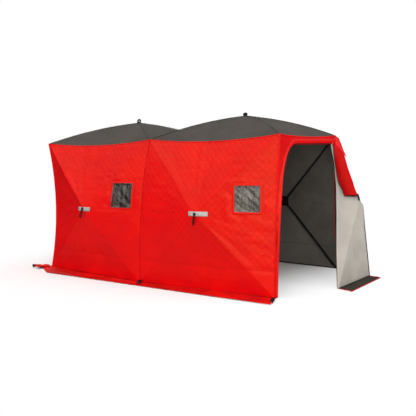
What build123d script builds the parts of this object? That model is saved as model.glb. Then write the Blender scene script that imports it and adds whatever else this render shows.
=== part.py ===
"""Pop-up ice fishing shelter with two hub bays in a row, its end door open.

Quilted fabric is stretched over hubs: every wall bay and roof bay has a hub in
its middle that pushes the cloth outwards, and four rods run from the hub to the
bay's corners.  The right end is the door wall, unzipped and folded back.

Frame, in millimetres: origin on the ground at the middle of the footprint, +X
along the long walls towards the door end, -Y to the front, +Z up.
"""

import os

from build123d import *

# ---- Overall sizes -------------------------------------------------------
FOOT_LENGTH = 3524.0  # between the corner feet, along the front
FOOT_DEPTH = 1870.0  # between the corner feet, front to back
EAVE_LENGTH = 3600.0  # between the eave corners, along the front
EAVE_DEPTH = 1754.0
EAVE_HEIGHT = 1738.0
ROOF_HUB_HEIGHT = 2030.0
WALL_HUB_HEIGHT = 883.0
WALL_HUB_PUSH = 206.0  # how far a wall hub stands out past the line of the feet
MIDDLE_FOOT_OUT = 130.0  # the long walls' middle foot, past the line of the feet
MIDDLE_EAVE_IN = 50.0  # the long walls' middle eave, inside the eave corners
OPEN_CORNER_LEAN = 60.0  # the rear eave corner beside the open door leans in
OPEN_CORNER_LIFT = 35.0

# ---- How the cloth hangs between its fixed points ------------------------
EAVE_SAG = 55.0  # middle of a long eave and of the closed end's eave
DOOR_EAVE_SAG = 30.0
CORNER_DRAW = 85.0  # corners of the closed end curve in at mid height
DOOR_CORNER_DRAW = 20.0
MIDDLE_SEAM_BOW = 80.0  # the seam between the bays curves out
ROOF_RISE = 40.0  # roof rods arch this far above a straight line
CLOTH = 8.0  # quilted wall cloth
ROOF_CLOTH = 8.0
PANELS = 6  # flat panels that follow each curve of the cloth

# ---- Rods and hubs -------------------------------------------------------
ROD_RADIUS = 5.5
ROD_SIDES = 12  # a light stand-in for a round rod
BOOT_RADIUS = 11.0  # the thick end sleeve that sits in the corner pocket
BOOT_LENGTH = 210.0
CORNER_GAP = 75.0  # from a rod's tip to its corner
HUB_WIDTH = 92.0  # square plate behind the cloth
HUB_CHAMFER = 20.0
HUB_DEPTH = 12.0  # from the plate's flat face back to where the rods' lines meet
PLATE_THICKNESS = 6.0
PIN_REACH = 42.0  # each arm's pivot pin, from the middle of the hub
PIN_RADIUS = 2.5
TONGUE_THICKNESS = 8.0
TONGUE_HEIGHT = 14.0
CHEEK_THICKNESS = 4.0
SOCKET_START = 16.0  # from the pin to the socket
SOCKET_LENGTH = 58.0
SOCKET_WIDTH = 18.0
SEAT_GAP = 0.3  # clearance where two pieces seat against each other
ROD_GAP = 0.6  # from a rod's end sleeve to the cloth

# ---- Windows, skirts, straps ---------------------------------------------
WINDOW_WIDTH = 276.0
WINDOW_HEIGHT = 283.0
WINDOW_FROM_HUB = 580.0  # window centre, to the right of the bay's hub
WINDOW_CENTRE_HEIGHT = 1058.0
WINDOW_CORNER = 14.0
VINYL = 2.0
SKIRT_THICKNESS = 3.0
SKIRT_REACH = 255.0  # past the corner feet
MIDDLE_SKIRT_REACH = 150.0  # past the middle foot
END_SKIRT_REACH = 80.0  # most of the closed end's skirt is tucked under
SKIRT_SLOPE_GAP = 1.0  # from the wall's foot to the skirt's inner edge
TAB_LENGTH = 210.0
MIDDLE_TAB_LENGTH = 130.0
TAB_SPLAY = 0.3  # the corner tabs point a little sideways
TAB_WIDTH = 45.0
TAB_THICKNESS = 3.0
EYELET_RADIUS = 7.0
PULL_RADIUS = 3.5
PULL_LENGTH = 105.0
PULL_WIDTH = 34.0
CAP_RADIUS = 17.0
CAP_SIDES = 16
CAP_THICKNESS = 7.0
ROOF_LOOP_HEIGHT = 44.0

# ---- Door wall -----------------------------------------------------------
FOOT_Y = FOOT_DEPTH / 2
EAVE_Y = EAVE_DEPTH / 2
DOOR_FOOT = 63 - FOOT_Y  # Y of the opening's front edge at the ground
DOOR_SHOULDER = (112 - EAVE_Y, EAVE_HEIGHT - 548)  # Y, Z where the rounded corner starts
DOOR_ARCH = (152 - EAVE_Y, EAVE_HEIGHT - 102)  # Y, Z that it is drawn towards
DOOR_HEAD = (482 - EAVE_Y, EAVE_HEIGHT - 95)  # Y, Z where it ends
DOOR_HEAD_REAR = EAVE_HEIGHT - 50  # Z of the opening's top at the rear corner
FOLD_TOP_DROP = 115.0  # top of the flap's fold, below the rear eave corner
FOLD_TOP_STEP = Vector(8.6, -181.4, 0)  # and from the rear corner's line at that height
FOLD_FOOT = Vector(FOOT_LENGTH / 2 + 418, FOOT_Y - 1115, 0)
FOLD_RADIUS = 1.25 * CLOTH  # the cloth rolls over at the fold
FLAP_FOOT = FOLD_FOOT + Vector(80, 860, 0)  # lower free corner
FLAP_TIE = FLAP_FOOT + Vector(-70, -230, EAVE_HEIGHT - 753)  # end of the turned-down corner
FLAP_TIP = FLAP_TIE + Vector(-83, -250, 66)  # tip of the turned-down upper corner
TURNED_TUCK = 1.0  # how far the turned-down corner tucks in beside the fold's roll
FLAP_SKIRT_FRONT = FOLD_FOOT + Vector(180, -60, 0)
FLAP_SKIRT_REAR = FLAP_FOOT + Vector(160, -50, 0)


# ---- Fixed points --------------------------------------------------------
def foot(x_side, y_side):
    """Corner foot, or the long wall's middle foot when x_side is 0."""
    out = MIDDLE_FOOT_OUT if x_side == 0 else 0.0
    return Vector(x_side * FOOT_LENGTH / 2, y_side * (FOOT_DEPTH / 2 + out), 0)


def eave(x_side, y_side):
    """Eave corner, or the long wall's middle eave when x_side is 0."""
    inset = MIDDLE_EAVE_IN if x_side == 0 else 0.0
    corner = Vector(x_side * EAVE_LENGTH / 2, y_side * (EAVE_DEPTH / 2 - inset), EAVE_HEIGHT)
    if (x_side, y_side) == (1, 1):
        corner += Vector(-OPEN_CORNER_LEAN, -OPEN_CORNER_LEAN / 6, OPEN_CORNER_LIFT)
    return corner


def towards_centre(a, b, depth):
    """A step of this depth from the edge a-b, square to it, to the floor's centre."""
    along = (b - a).normalized()
    inward = (a + b) * -0.5
    inward -= along * inward.dot(along)
    return inward.normalized() * depth


def rim(a, b, depth):
    """An edge of cloth drawn in by depth at its middle: end, control point, end."""
    return (a, (a + b) * 0.5 + towards_centre(a, b, depth) * 2, b)


def reverse(edge):
    return edge[::-1]


# ---- Cloth ---------------------------------------------------------------
def point_on(edge, share):
    """Point of an edge's curve, from its end, control point and end."""
    a, control, b = edge
    return a * (1 - share) ** 2 + control * (2 * share * (1 - share)) + b * share**2


def curve_points(edge):
    return [point_on(edge, step / PANELS) for step in range(PANELS + 1)]


def gore(apex, edge, rise):
    """Rows of points over one triangular facet, from its hub to one edge of the bay."""
    a, control, b = edge
    if not rise:
        return [[apex] * (PANELS + 1), curve_points(edge)]
    ridge_a = rim(apex, a, -rise)
    ridge_b = rim(apex, b, -rise)
    middle = (apex, (apex + control) * 0.5 + towards_centre(apex, control, -rise), control)
    lines = zip(curve_points(ridge_a), curve_points(middle), curve_points(ridge_b))
    return [curve_points(line) for line in lines]


def panels(rows):
    """Flat triangles between each row of points and the next, the same at both ends."""
    for upper, lower in zip(rows, rows[1:]):
        for i in range(PANELS):
            if i < PANELS / 2:
                pair = (upper[i], lower[i], lower[i + 1]), (upper[i], lower[i + 1], upper[i + 1])
            else:
                pair = (upper[i], lower[i], upper[i + 1]), (lower[i], lower[i + 1], upper[i + 1])
            yield from (corners for corners in pair if (corners[0] - corners[2]).length > 1)


def cloth(gores, scale):
    """Closed solid between the gores' panels and the same panels drawn inwards.

    Everything is drawn towards the floor's centre, so neighbouring pieces meet
    face to face on a mitre, and the feet stay flat on the ground.
    """
    outlines = []
    for rows in gores:
        for a, b, c in panels(rows):
            outlines += [(a, b, c), (a * scale, b * scale, c * scale)]
        for a, b in zip(rows[-1], rows[-1][1:]):
            outlines.append((a, b, b * scale, a * scale))
    return Solid(Shell([Face(Wire.make_polygon(outline)) for outline in outlines]))


PLATE_REACH = Vector(HUB_WIDTH / 2, HUB_WIDTH / 2 - HUB_CHAMFER).length


class Bay:
    """One square of cloth with a hub in its middle and a rod to each corner."""

    def __init__(self, name, hub, outward, edges, thickness, rise=0.0):
        self.name = name
        self.hub = hub
        self.outward = outward
        self.edges = edges
        self.rise = rise
        self.gores = [gore(hub, edge, rise) for edge in edges]
        facets = [(edge[0] - hub).cross(edge[2] - hub).normalized() for edge in edges]
        self.reach = sum(abs(facet.dot(hub)) for facet in facets) / len(facets)
        self.scale = 1 - thickness / self.reach
        self.hub_centre = hub * self.scale - outward * (self.recess() + HUB_DEPTH)

    def recess(self):
        """How far the hub's plate stays behind the peak of the cloth."""
        slopes = []
        for rows in self.gores:
            for point in rows[1]:
                step = point - self.hub
                drop = -step.dot(self.outward)
                slopes.append(drop / (step + self.outward * drop).length)
        return PLATE_REACH * max(slopes) + SEAT_GAP

    def groove_sine(self, corner, along, out):
        """Sine of the narrower angle between the way in and the cloth beside a rod's tip."""
        sines = []
        for rows in self.gores:
            for end, beside in ((0, 1), (-1, -2)):
                if (rows[-1][end] - corner).length < 1:
                    across = rows[-1][beside] - corner
                    across = (across - along * across.dot(along)).normalized()
                    sines.append((1 - across.dot(out) ** 2) ** 0.5)
        return min(sines)

    def rod_line(self, corner):
        """Centre line of the rod from the middle of the hub to near a corner."""
        ridge = rim(self.hub, corner, -self.rise)
        last = point_on(ridge, 1 - 1 / PANELS)
        along = (corner - last).normalized()
        out = towards_centre(last, corner, -1)
        tip = corner - along * CORNER_GAP
        seat = (BOOT_RADIUS + ROD_GAP) / self.groove_sine(corner, along, out)
        depth = (1 - self.scale) * tip.dot(out) + seat
        end = tip - out * depth
        if not self.rise:
            return Edge.make_line(self.hub_centre, end)
        mean_step = (self.hub_centre - self.hub + end - tip) * 0.5
        middle = point_on(ridge, 0.5) + mean_step
        return Edge.make_three_point_arc(self.hub_centre, middle, end)


# ---- Bays ----------------------------------------------------------------
def corner_edge(x_side, y_side):
    draw = DOOR_CORNER_DRAW if x_side > 0 else CORNER_DRAW
    return rim(foot(x_side, y_side), eave(x_side, y_side), draw)


def end_eave(x_side):
    sag = DOOR_EAVE_SAG if x_side > 0 else EAVE_SAG
    return rim(eave(x_side, -1), eave(x_side, 1), sag)


def long_eave(x_side, y_side):
    return rim(eave(0, y_side), eave(x_side, y_side), EAVE_SAG)


HUB_SPACING = FOOT_LENGTH / 2
SIDES = ((-1, "left"), (1, "right"))
FACES = ((-1, "front"), (1, "back"))

walls = []
roofs = []
for x_side, x_name in SIDES:
    hub_x = x_side * HUB_SPACING / 2
    for y_side, y_name in FACES:
        wall_hub = Vector(hub_x, y_side * (FOOT_DEPTH / 2 + WALL_HUB_PUSH), WALL_HUB_HEIGHT)
        edges = [
            rim(foot(0, y_side), foot(x_side, y_side), 0),
            corner_edge(x_side, y_side),
            long_eave(x_side, y_side),
            rim(foot(0, y_side), eave(0, y_side), -MIDDLE_SEAM_BOW),
        ]
        outward = Vector(0, y_side, 0)
        walls.append(Bay(f"{y_name}_{x_name}", wall_hub, outward, edges, CLOTH))
    edges = [
        long_eave(x_side, -1),
        end_eave(x_side),
        long_eave(x_side, 1),
        rim(eave(0, -1), eave(0, 1), 0),
    ]
    roof_hub = Vector(hub_x, 0, ROOF_HUB_HEIGHT)
    roofs.append(Bay(f"{x_name}_roof", roof_hub, Vector(0, 0, 1), edges, ROOF_CLOTH, ROOF_RISE))

end_hub = Vector(-FOOT_LENGTH / 2 - WALL_HUB_PUSH, 0, WALL_HUB_HEIGHT)
end_edges = [
    rim(foot(-1, -1), foot(-1, 1), 0),
    corner_edge(-1, -1),
    end_eave(-1),
    corner_edge(-1, 1),
]
left_end = Bay("left_end", end_hub, Vector(-1, 0, 0), end_edges, CLOTH)

os.makedirs("parts", exist_ok=True)


def save(builder, name):
    builder.part.label = name
    export_step(builder.part, f"parts/{name}.step")


# ---- Long walls with their windows ---------------------------------------
def window_plane(bay):
    """Upright plane outside a long wall, its X axis to the right seen from outside."""
    side = bay.outward.Y
    x = bay.hub.X - side * WINDOW_FROM_HUB
    y = bay.hub.Y + side * WALL_HUB_PUSH
    origin = (x, y, WINDOW_CENTRE_HEIGHT)
    return Plane(origin=origin, x_dir=(-side, 0, 0), z_dir=(0, side, 0))


for bay in walls:
    with BuildPart() as wall:
        add(cloth(bay.gores, bay.scale))
        with BuildSketch(window_plane(bay)):
            RectangleRounded(WINDOW_WIDTH, WINDOW_HEIGHT, WINDOW_CORNER)
        extrude(amount=-3 * WALL_HUB_PUSH, mode=Mode.SUBTRACT)
    save(wall, f"{bay.name}_wall")

    inset = (1 - bay.scale) / 2 - VINYL / 2 / bay.reach
    shrunk = [[[point * (1 - inset) for point in row] for row in rows] for rows in bay.gores]
    with BuildPart() as pane:
        add(cloth(shrunk, 1 - VINYL / bay.reach))
        with BuildSketch(window_plane(bay)):
            width, height = WINDOW_WIDTH - 2 * SEAT_GAP, WINDOW_HEIGHT - 2 * SEAT_GAP
            RectangleRounded(width, height, WINDOW_CORNER)
        extrude(amount=-3 * WALL_HUB_PUSH, mode=Mode.INTERSECT)
    save(pane, f"{bay.name}_window")

with BuildPart() as end_wall:
    add(cloth(left_end.gores, left_end.scale))
save(end_wall, "left_end_wall")

for bay in roofs:
    with BuildPart() as roof:
        add(cloth(bay.gores, bay.scale))
    save(roof, bay.name)

# ---- Hubs and rods -------------------------------------------------------
class Arm:
    """Where one rod's arm sits on its hub: the pin, the way out and the way across."""

    def __init__(self, bay, line):
        self.heading = line % 0
        self.level = (self.heading - bay.outward * self.heading.dot(bay.outward)).normalized()
        self.across = self.level.cross(bay.outward)
        self.pin = bay.hub_centre + self.heading * PIN_REACH

    def upright(self, offset):
        """Plane along the arm, its Y axis square to the hub's plate."""
        return Plane(self.pin + self.across * offset, x_dir=self.level, z_dir=self.across)

    def lengthwise(self, offset):
        """Plane along the arm, its X axis along the rod."""
        return Plane(self.pin + self.across * offset, x_dir=self.heading, z_dir=self.across)

    def square(self, distance):
        """Plane across the rod, this far past the pin."""
        origin = self.pin + self.heading * distance
        return Plane(origin, x_dir=self.across, z_dir=self.heading)


CHEEK_OFFSET = TONGUE_THICKNESS / 2 + SEAT_GAP
CHEEK_REACH = TONGUE_HEIGHT / 2 + 1

for bay in walls + [left_end] + roofs:
    lines = [bay.rod_line(edge[end]) for edge in (bay.edges[0], bay.edges[2]) for end in (0, 2)]
    arms = [Arm(bay, line) for line in lines]
    plate_across = Vector(0, 0, 1).cross(bay.outward) if not bay.outward.Z else Vector(1, 0, 0)
    plate_back = bay.hub_centre + bay.outward * (HUB_DEPTH - PLATE_THICKNESS)

    with BuildPart() as hub:
        with BuildSketch(Plane(plate_back, x_dir=plate_across, z_dir=bay.outward)) as plate:
            Rectangle(HUB_WIDTH, HUB_WIDTH)
            chamfer(plate.vertices(), HUB_CHAMFER)
        extrude(amount=PLATE_THICKNESS)
        for arm in arms:
            rise = (plate_back - arm.pin).dot(bay.outward)
            for offset in (CHEEK_OFFSET, -CHEEK_OFFSET - CHEEK_THICKNESS):
                with BuildSketch(arm.upright(offset)):
                    Polygon(
                        (-1.8 * CHEEK_REACH, rise),
                        (-CHEEK_REACH, -CHEEK_REACH / 2),
                        (-CHEEK_REACH / 2, -CHEEK_REACH),
                        (CHEEK_REACH / 2, -CHEEK_REACH),
                        (CHEEK_REACH, -CHEEK_REACH / 2),
                        (CHEEK_REACH, rise),
                        align=None,
                    )
                extrude(amount=CHEEK_THICKNESS)
            with BuildSketch(arm.upright(-CHEEK_OFFSET - CHEEK_THICKNESS)):
                RegularPolygon(PIN_RADIUS, 6)
            extrude(amount=2 * (CHEEK_OFFSET + CHEEK_THICKNESS))
    save(hub, f"{bay.name}_hub")

    with BuildPart() as rods:
        for arm, line in zip(arms, lines):
            with BuildSketch(arm.lengthwise(-TONGUE_THICKNESS / 2)):
                Polygon(
                    (-TONGUE_HEIGHT / 2, -TONGUE_HEIGHT / 4),
                    (-TONGUE_HEIGHT / 4, -TONGUE_HEIGHT / 2),
                    (SOCKET_START, -TONGUE_HEIGHT / 2),
                    (SOCKET_START, TONGUE_HEIGHT / 2),
                    (-TONGUE_HEIGHT / 4, TONGUE_HEIGHT / 2),
                    (-TONGUE_HEIGHT / 2, TONGUE_HEIGHT / 4),
                    align=None,
                )
                RegularPolygon(PIN_RADIUS + 2 * SEAT_GAP, 6, mode=Mode.SUBTRACT)
            extrude(amount=TONGUE_THICKNESS)
            with BuildSketch(arm.square(SOCKET_START)):
                RegularPolygon(SOCKET_WIDTH / 2, 8, major_radius=False)
            extrude(amount=SOCKET_LENGTH)
            rod_start = PIN_REACH + SOCKET_START + SOCKET_LENGTH / 2
            boot_start = line.length - BOOT_LENGTH
            for start, radius in ((rod_start, ROD_RADIUS), (boot_start, BOOT_RADIUS)):
                path = line.trim(start / line.length, 1)
                with BuildSketch(Plane(origin=path @ 0, z_dir=path % 0)):
                    RegularPolygon(radius, ROD_SIDES)
                sweep(path=path)
    save(rods, f"{bay.name}_rods")

# ---- Pull loops on the wall hubs, caps on the roof hubs ------------------
def webbing_loop(plane):
    """Flat closed loop of webbing that hangs from the plane's origin along its -Y axis."""
    with BuildSketch(plane) as loop:
        with Locations((0, -PULL_LENGTH / 2)):
            Rectangle(PULL_WIDTH, PULL_LENGTH)
            chamfer(loop.vertices(), PULL_WIDTH / 3)
            slit = (PULL_WIDTH - 4 * PULL_RADIUS, PULL_LENGTH - 4 * PULL_RADIUS)
            Rectangle(*slit, mode=Mode.SUBTRACT)
    return loop.sketch


for bay in walls + [left_end]:
    across = Vector(0, 0, 1).cross(bay.outward)
    face = Plane(origin=bay.hub + bay.outward * SEAT_GAP, x_dir=across, z_dir=bay.outward)
    with BuildPart() as pull:
        with BuildSketch(face):
            RegularPolygon(CAP_RADIUS, CAP_SIDES)
        extrude(amount=CAP_THICKNESS)
        extrude(webbing_loop(face.offset((CAP_THICKNESS - PULL_RADIUS) / 2)), amount=PULL_RADIUS)
    save(pull, f"{bay.name}_pull")

for bay in roofs:
    with BuildPart() as cap:
        with BuildSketch(Plane(origin=bay.hub + bay.outward * SEAT_GAP)):
            RegularPolygon(CAP_RADIUS, CAP_SIDES)
        extrude(amount=CAP_THICKNESS)
        ring_centre = bay.hub + Vector(0, PULL_RADIUS / 2, ROOF_LOOP_HEIGHT / 2 + PULL_RADIUS)
        with BuildSketch(Plane(origin=ring_centre, x_dir=(1, 0, 0), z_dir=(0, -1, 0))):
            RegularPolygon(ROOF_LOOP_HEIGHT / 2, CAP_SIDES)
            RegularPolygon(ROOF_LOOP_HEIGHT / 2 - 2 * PULL_RADIUS, CAP_SIDES, mode=Mode.SUBTRACT)
        extrude(amount=PULL_RADIUS)
    save(cap, f"{bay.name}_cap")

# ---- Door wall -----------------------------------------------------------
front_edge = corner_edge(1, -1)
rear_edge = corner_edge(1, 1)
head_edge = end_eave(1)
sill_edge = rim(foot(1, -1), foot(1, 1), 0)
belly = (front_edge[1] + rear_edge[1] + sill_edge[1] + head_edge[1]) * 0.25
door_net = [sill_edge, (front_edge[1], belly, rear_edge[1]), head_edge]
door_scale = 1 - 2 * CLOTH / FOOT_LENGTH
door_skins = []
for scale in (1, door_scale):
    points = [[point * scale for point in row] for row in door_net]
    door_skins.append(Face.make_bezier_surface(points))
door_rims = []
for edge in (sill_edge, head_edge, front_edge, rear_edge):
    outer_rim = Edge.make_bezier(*edge)
    inner_rim = Edge.make_bezier(*[point * door_scale for point in edge])
    door_rims.append(Face.make_surface_from_curves(outer_rim, inner_rim))
with BuildPart() as surround:
    add(Solid(Shell(door_skins + door_rims)))
    with BuildSketch(Plane.YZ.offset(FOOT_LENGTH / 3)):
        with BuildLine():
            Line((DOOR_FOOT, -1), DOOR_SHOULDER)
            Bezier(DOOR_SHOULDER, DOOR_ARCH, DOOR_HEAD)
            Polyline(
                DOOR_HEAD,
                (FOOT_DEPTH, DOOR_HEAD_REAR),
                (FOOT_DEPTH, -1),
                (DOOR_FOOT, -1),
            )
        make_face()
    extrude(amount=FOOT_LENGTH / 3, mode=Mode.SUBTRACT)
save(surround, "door_surround")


def facing_out(points):
    """Unit normal of a triangle of the flap, on the side away from the shelter."""
    a, b, c = points
    normal = (b - a).cross(c - a).normalized()
    return normal if normal.X > 0 else normal * -1


def layer(*points):
    """A flat triangle of the flap, half a cloth thick to each side of its points."""
    out = facing_out(points) * CLOTH
    return Solid.extrude(Face(Wire.make_polygon([p - out * 0.5 for p in points])), out)


beside_end = Vector(CLOTH / 2 + SEAT_GAP, 0, 0)
hinge_top = rear_edge[2] + beside_end
hinge_foot = rear_edge[0] + beside_end
down_rear_corner = (rear_edge[0] - rear_edge[2]) / rear_edge[2].Z
fold_top = rear_edge[2] + down_rear_corner * FOLD_TOP_DROP + FOLD_TOP_STEP
fold_line = (fold_top - FOLD_FOOT).normalized()
with BuildPart() as flap:
    add(layer(hinge_foot, FOLD_FOOT, hinge_top))
    add(layer(FOLD_FOOT, fold_top, hinge_top))
    add(layer(FOLD_FOOT, FLAP_TIE, fold_top))
    add(layer(FOLD_FOOT, FLAP_FOOT, FLAP_TIE))
    with BuildSketch(Plane(origin=FOLD_FOOT - fold_line * 2 * CLOTH, z_dir=fold_line)):
        Circle(FOLD_RADIUS)
    extrude(amount=(fold_top - FOLD_FOOT).length + 2 * CLOTH)
    split(bisect_by=Plane.XY, keep=Keep.TOP)
save(flap, "door_flap")

turned_step = FOLD_RADIUS + CLOTH / 2 - TURNED_TUCK
turned = facing_out((FOLD_FOOT, FLAP_TIE, fold_top)) * turned_step
with BuildPart() as flap_corner:
    add(layer(fold_top + turned, FLAP_TIE + turned, FLAP_TIP + turned))
save(flap_corner, "door_flap_corner")

free_edge = (FLAP_TIE - FLAP_FOOT).normalized()
edge_out = free_edge.cross(facing_out((FOLD_FOOT, FLAP_FOOT, FLAP_TIE)))
if edge_out.Y < 0:
    edge_out = edge_out * -1
tie_plane = Plane(
    origin=FLAP_TIE - free_edge * PULL_WIDTH / 2 + edge_out * SEAT_GAP,
    x_dir=free_edge.cross(edge_out),
    z_dir=edge_out,
)
with BuildPart() as tie:
    extrude(webbing_loop(tie_plane), amount=PULL_RADIUS)
save(tie, "door_tie")


# ---- Skirts and anchor tabs ----------------------------------------------
def ground_plate(points, low, thickness):
    with BuildPart() as plate:
        with BuildSketch(Plane.XY.offset(low)):
            with BuildLine():
                Polyline(*points, close=True)
            make_face()
        extrude(amount=thickness)
    return plate


corner = FOOT_LENGTH / 2
side = FOOT_DEPTH / 2
for y_side, y_name in FACES:
    inner = side + SKIRT_SLOPE_GAP
    outer = side + SKIRT_REACH
    points = [
        (-corner, y_side * inner),
        (0, y_side * (inner + MIDDLE_FOOT_OUT)),
        (corner, y_side * inner),
        (corner + SKIRT_REACH / 3, y_side * outer),
        (0, y_side * (side + MIDDLE_FOOT_OUT + MIDDLE_SKIRT_REACH)),
        (-corner + SKIRT_REACH, y_side * (outer + SKIRT_REACH / 5)),
        (-corner - SKIRT_REACH / 7, y_side * (side + SKIRT_REACH / 2)),
    ]
    save(ground_plate(points, 0, SKIRT_THICKNESS), f"{y_name}_skirt")

points = [
    (-corner - SKIRT_SLOPE_GAP, -side),
    (-corner - SKIRT_SLOPE_GAP, side),
    (-corner - END_SKIRT_REACH, side),
    (-corner - END_SKIRT_REACH, -side),
]
save(ground_plate(points, 0, SKIRT_THICKNESS), "left_end_skirt")

points = [
    (point.X, point.Y)
    for point in (
        FOLD_FOOT + Vector(FOLD_RADIUS + 2 * SEAT_GAP, 0, 0),
        FLAP_FOOT + Vector(CLOTH / 2 + 2 * SEAT_GAP, 0, 0),
        FLAP_SKIRT_REAR,
        FLAP_SKIRT_FRONT,
    )
]
save(ground_plate(points, 0, SKIRT_THICKNESS), "door_flap_skirt")

with BuildPart() as tabs:
    for x_side in (-1, 0, 1):
        length = TAB_LENGTH if x_side else MIDDLE_TAB_LENGTH
        for y_side, _ in FACES:
            heading = Vector(x_side * TAB_SPLAY, y_side, 0)
            origin = foot(x_side, y_side) + Vector(0, 0, SKIRT_THICKNESS + SEAT_GAP)
            with BuildSketch(Plane(origin=origin, x_dir=heading, z_dir=(0, 0, 1))):
                with Locations((length / 2 + TAB_THICKNESS * 2, 0)):
                    Rectangle(length, TAB_WIDTH)
                with Locations((length - TAB_WIDTH / 3, 0)):
                    RegularPolygon(EYELET_RADIUS, 8, mode=Mode.SUBTRACT)
            extrude(amount=TAB_THICKNESS)
save(tabs, "anchor_tabs")
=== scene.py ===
import math

import bpy
import numpy as np
from mathutils import Matrix, Vector


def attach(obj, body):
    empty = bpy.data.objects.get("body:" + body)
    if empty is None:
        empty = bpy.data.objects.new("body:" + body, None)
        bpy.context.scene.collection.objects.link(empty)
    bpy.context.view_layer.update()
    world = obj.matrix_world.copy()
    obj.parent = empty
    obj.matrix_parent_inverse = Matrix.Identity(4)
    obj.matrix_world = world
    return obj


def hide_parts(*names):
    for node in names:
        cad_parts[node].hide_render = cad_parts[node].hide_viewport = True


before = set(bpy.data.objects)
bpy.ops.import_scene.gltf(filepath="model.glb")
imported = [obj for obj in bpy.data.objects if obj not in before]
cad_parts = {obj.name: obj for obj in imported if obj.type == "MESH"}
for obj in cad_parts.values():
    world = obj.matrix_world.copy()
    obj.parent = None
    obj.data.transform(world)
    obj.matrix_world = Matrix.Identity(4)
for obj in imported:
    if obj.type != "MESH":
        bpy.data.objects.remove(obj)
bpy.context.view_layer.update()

# ---- Sizes, in metres ----------------------------------------------------
FOOT_LENGTH, FOOT_DEPTH = 3.524, 1.870
EAVE_LENGTH, EAVE_DEPTH, EAVE_HEIGHT = 3.600, 1.754, 1.738
ROOF_HUB_HEIGHT, WALL_HUB_HEIGHT, WALL_HUB_PUSH = 2.030, 0.883, 0.206
MIDDLE_FOOT_OUT, MIDDLE_EAVE_IN = 0.130, 0.050
OPEN_CORNER_LEAN, OPEN_CORNER_LIFT = 0.060, 0.035
EAVE_SAG, DOOR_EAVE_SAG = 0.055, 0.030
CORNER_DRAW, DOOR_CORNER_DRAW, MIDDLE_SEAM_BOW = 0.085, 0.020, 0.080
ROOF_RISE = 0.040
CLOTH = 0.008
WINDOW_WIDTH, WINDOW_HEIGHT = 0.276, 0.283
WINDOW_FROM_HUB, WINDOW_CENTRE_HEIGHT, WINDOW_CORNER = 0.580, 1.058, 0.014
QUILT_PITCH = 0.085  # between crossings of the stitched diagonals, along a wall
QUILT_FOOT = 0.290  # the seam under which the cloth isn't quilted
SKIRT_REACH, MIDDLE_SKIRT_REACH, END_SKIRT_REACH = 0.255, 0.150, 0.080
DOOR_FOOT = -0.872
DOOR_SHOULDER, DOOR_ARCH, DOOR_HEAD = (-0.765, 1.190), (-0.725, 1.636), (-0.395, 1.643)
DOOR_HEAD_REAR, DOOR_REAR = 1.688, 0.867
WINDOW_RAISED = WINDOW_CENTRE_HEIGHT - WALL_HUB_HEIGHT
FRAME_BORDER = 0.030  # sewn cloth round each window
HEM_WIDTH = 0.028  # flat hem round the door's opening
HUB_PATCH, STRIP_WIDTH, PULL_LENGTH = 0.136, 0.052, 0.122
PIPING = 0.0055
FLAP_SLACK, PAD_HEIGHT = 0.004, 0.0008
PAD_RELIEF, WEAVE_RELIEF = 0.0004, 0.00005  # in the finish, on top of the shaped pads
SEAM_SHARE = 0.075  # of the quilting's pitch, from a stitched line's middle to where it ends
WALL_STEPS, ROOF_STEPS = 104, 76  # rings of triangles in a bay
FLOOR_BOUNCE = 0.58
ENDS, SIDES = ((-1, "left"), (1, "right")), ((-1, "front"), (1, "back"))


def point(x, y, z):
    return np.array((x, y, z), float)


FOLD_TOP, FOLD_FOOT = point(1.750, 0.690, 1.658), point(2.180, -0.180, 0)
FLAP_FOOT, FLAP_TIE = point(2.260, 0.680, 0), point(2.190, 0.450, 0.985)
FLAP_SKIRT_FRONT, FLAP_SKIRT_REAR = point(2.360, -0.240, 0), point(2.420, 0.630, 0)
AHEAD, UP, OUT = point(1, 0, 0), point(0, 0, 1), point(1, -0.1, 0) / np.linalg.norm((1, -0.1, 0))


# ---- Fixed points and edges of the cloth ---------------------------------
def unit(v):
    return v / np.linalg.norm(v, axis=-1, keepdims=True)


def foot(x_side, y_side):
    out = MIDDLE_FOOT_OUT if x_side == 0 else 0
    return point(x_side * FOOT_LENGTH / 2, y_side * (FOOT_DEPTH / 2 + out), 0)


def eave(x_side, y_side):
    inset = MIDDLE_EAVE_IN if x_side == 0 else 0
    corner = point(x_side * EAVE_LENGTH / 2, y_side * (EAVE_DEPTH / 2 - inset), EAVE_HEIGHT)
    if (x_side, y_side) == (1, 1):
        corner += point(-OPEN_CORNER_LEAN, -OPEN_CORNER_LEAN / 6, OPEN_CORNER_LIFT)
    return corner


def towards_centre(a, b, depth):
    """A step of this depth from the edge a-b, square to it, to the floor's centre."""
    along = unit(b - a)
    inward = (a + b) / -2
    return unit(inward - along * inward.dot(along)) * depth


def rim(a, b, depth):
    """An edge of cloth drawn in by depth at its middle: end, control point, end."""
    return np.array((a, (a + b) / 2 + towards_centre(a, b, depth) * 2, b))


def gore(apex, edge, rise):
    """Control net of one triangular facet, from its hub to one edge of the bay."""
    a, control, b = edge
    middle = (apex + control) / 2 + towards_centre(apex, control, -rise)
    ridges = rim(apex, a, -rise)[1], rim(apex, b, -rise)[1]
    return np.array(((apex, apex, apex), (ridges[0], middle, ridges[1]), (a, control, b)))


def bend(t):
    """Weights of a quadratic curve's three points."""
    t = np.asarray(t, float)
    return np.stack(((1 - t) ** 2, 2 * t * (1 - t), t**2), -1)


def curve(edge, t):
    return bend(t) @ np.asarray(edge)


def surface(net, across, out):
    return np.einsum("ni,nj,ijk->nk", bend(out), bend(across), net)


def corner_edge(x_side, y_side):
    return rim(foot(x_side, y_side), eave(x_side, y_side), DOOR_CORNER_DRAW if x_side > 0 else CORNER_DRAW)


def end_eave(x_side):
    return rim(eave(x_side, -1), eave(x_side, 1), DOOR_EAVE_SAG if x_side > 0 else EAVE_SAG)


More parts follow.
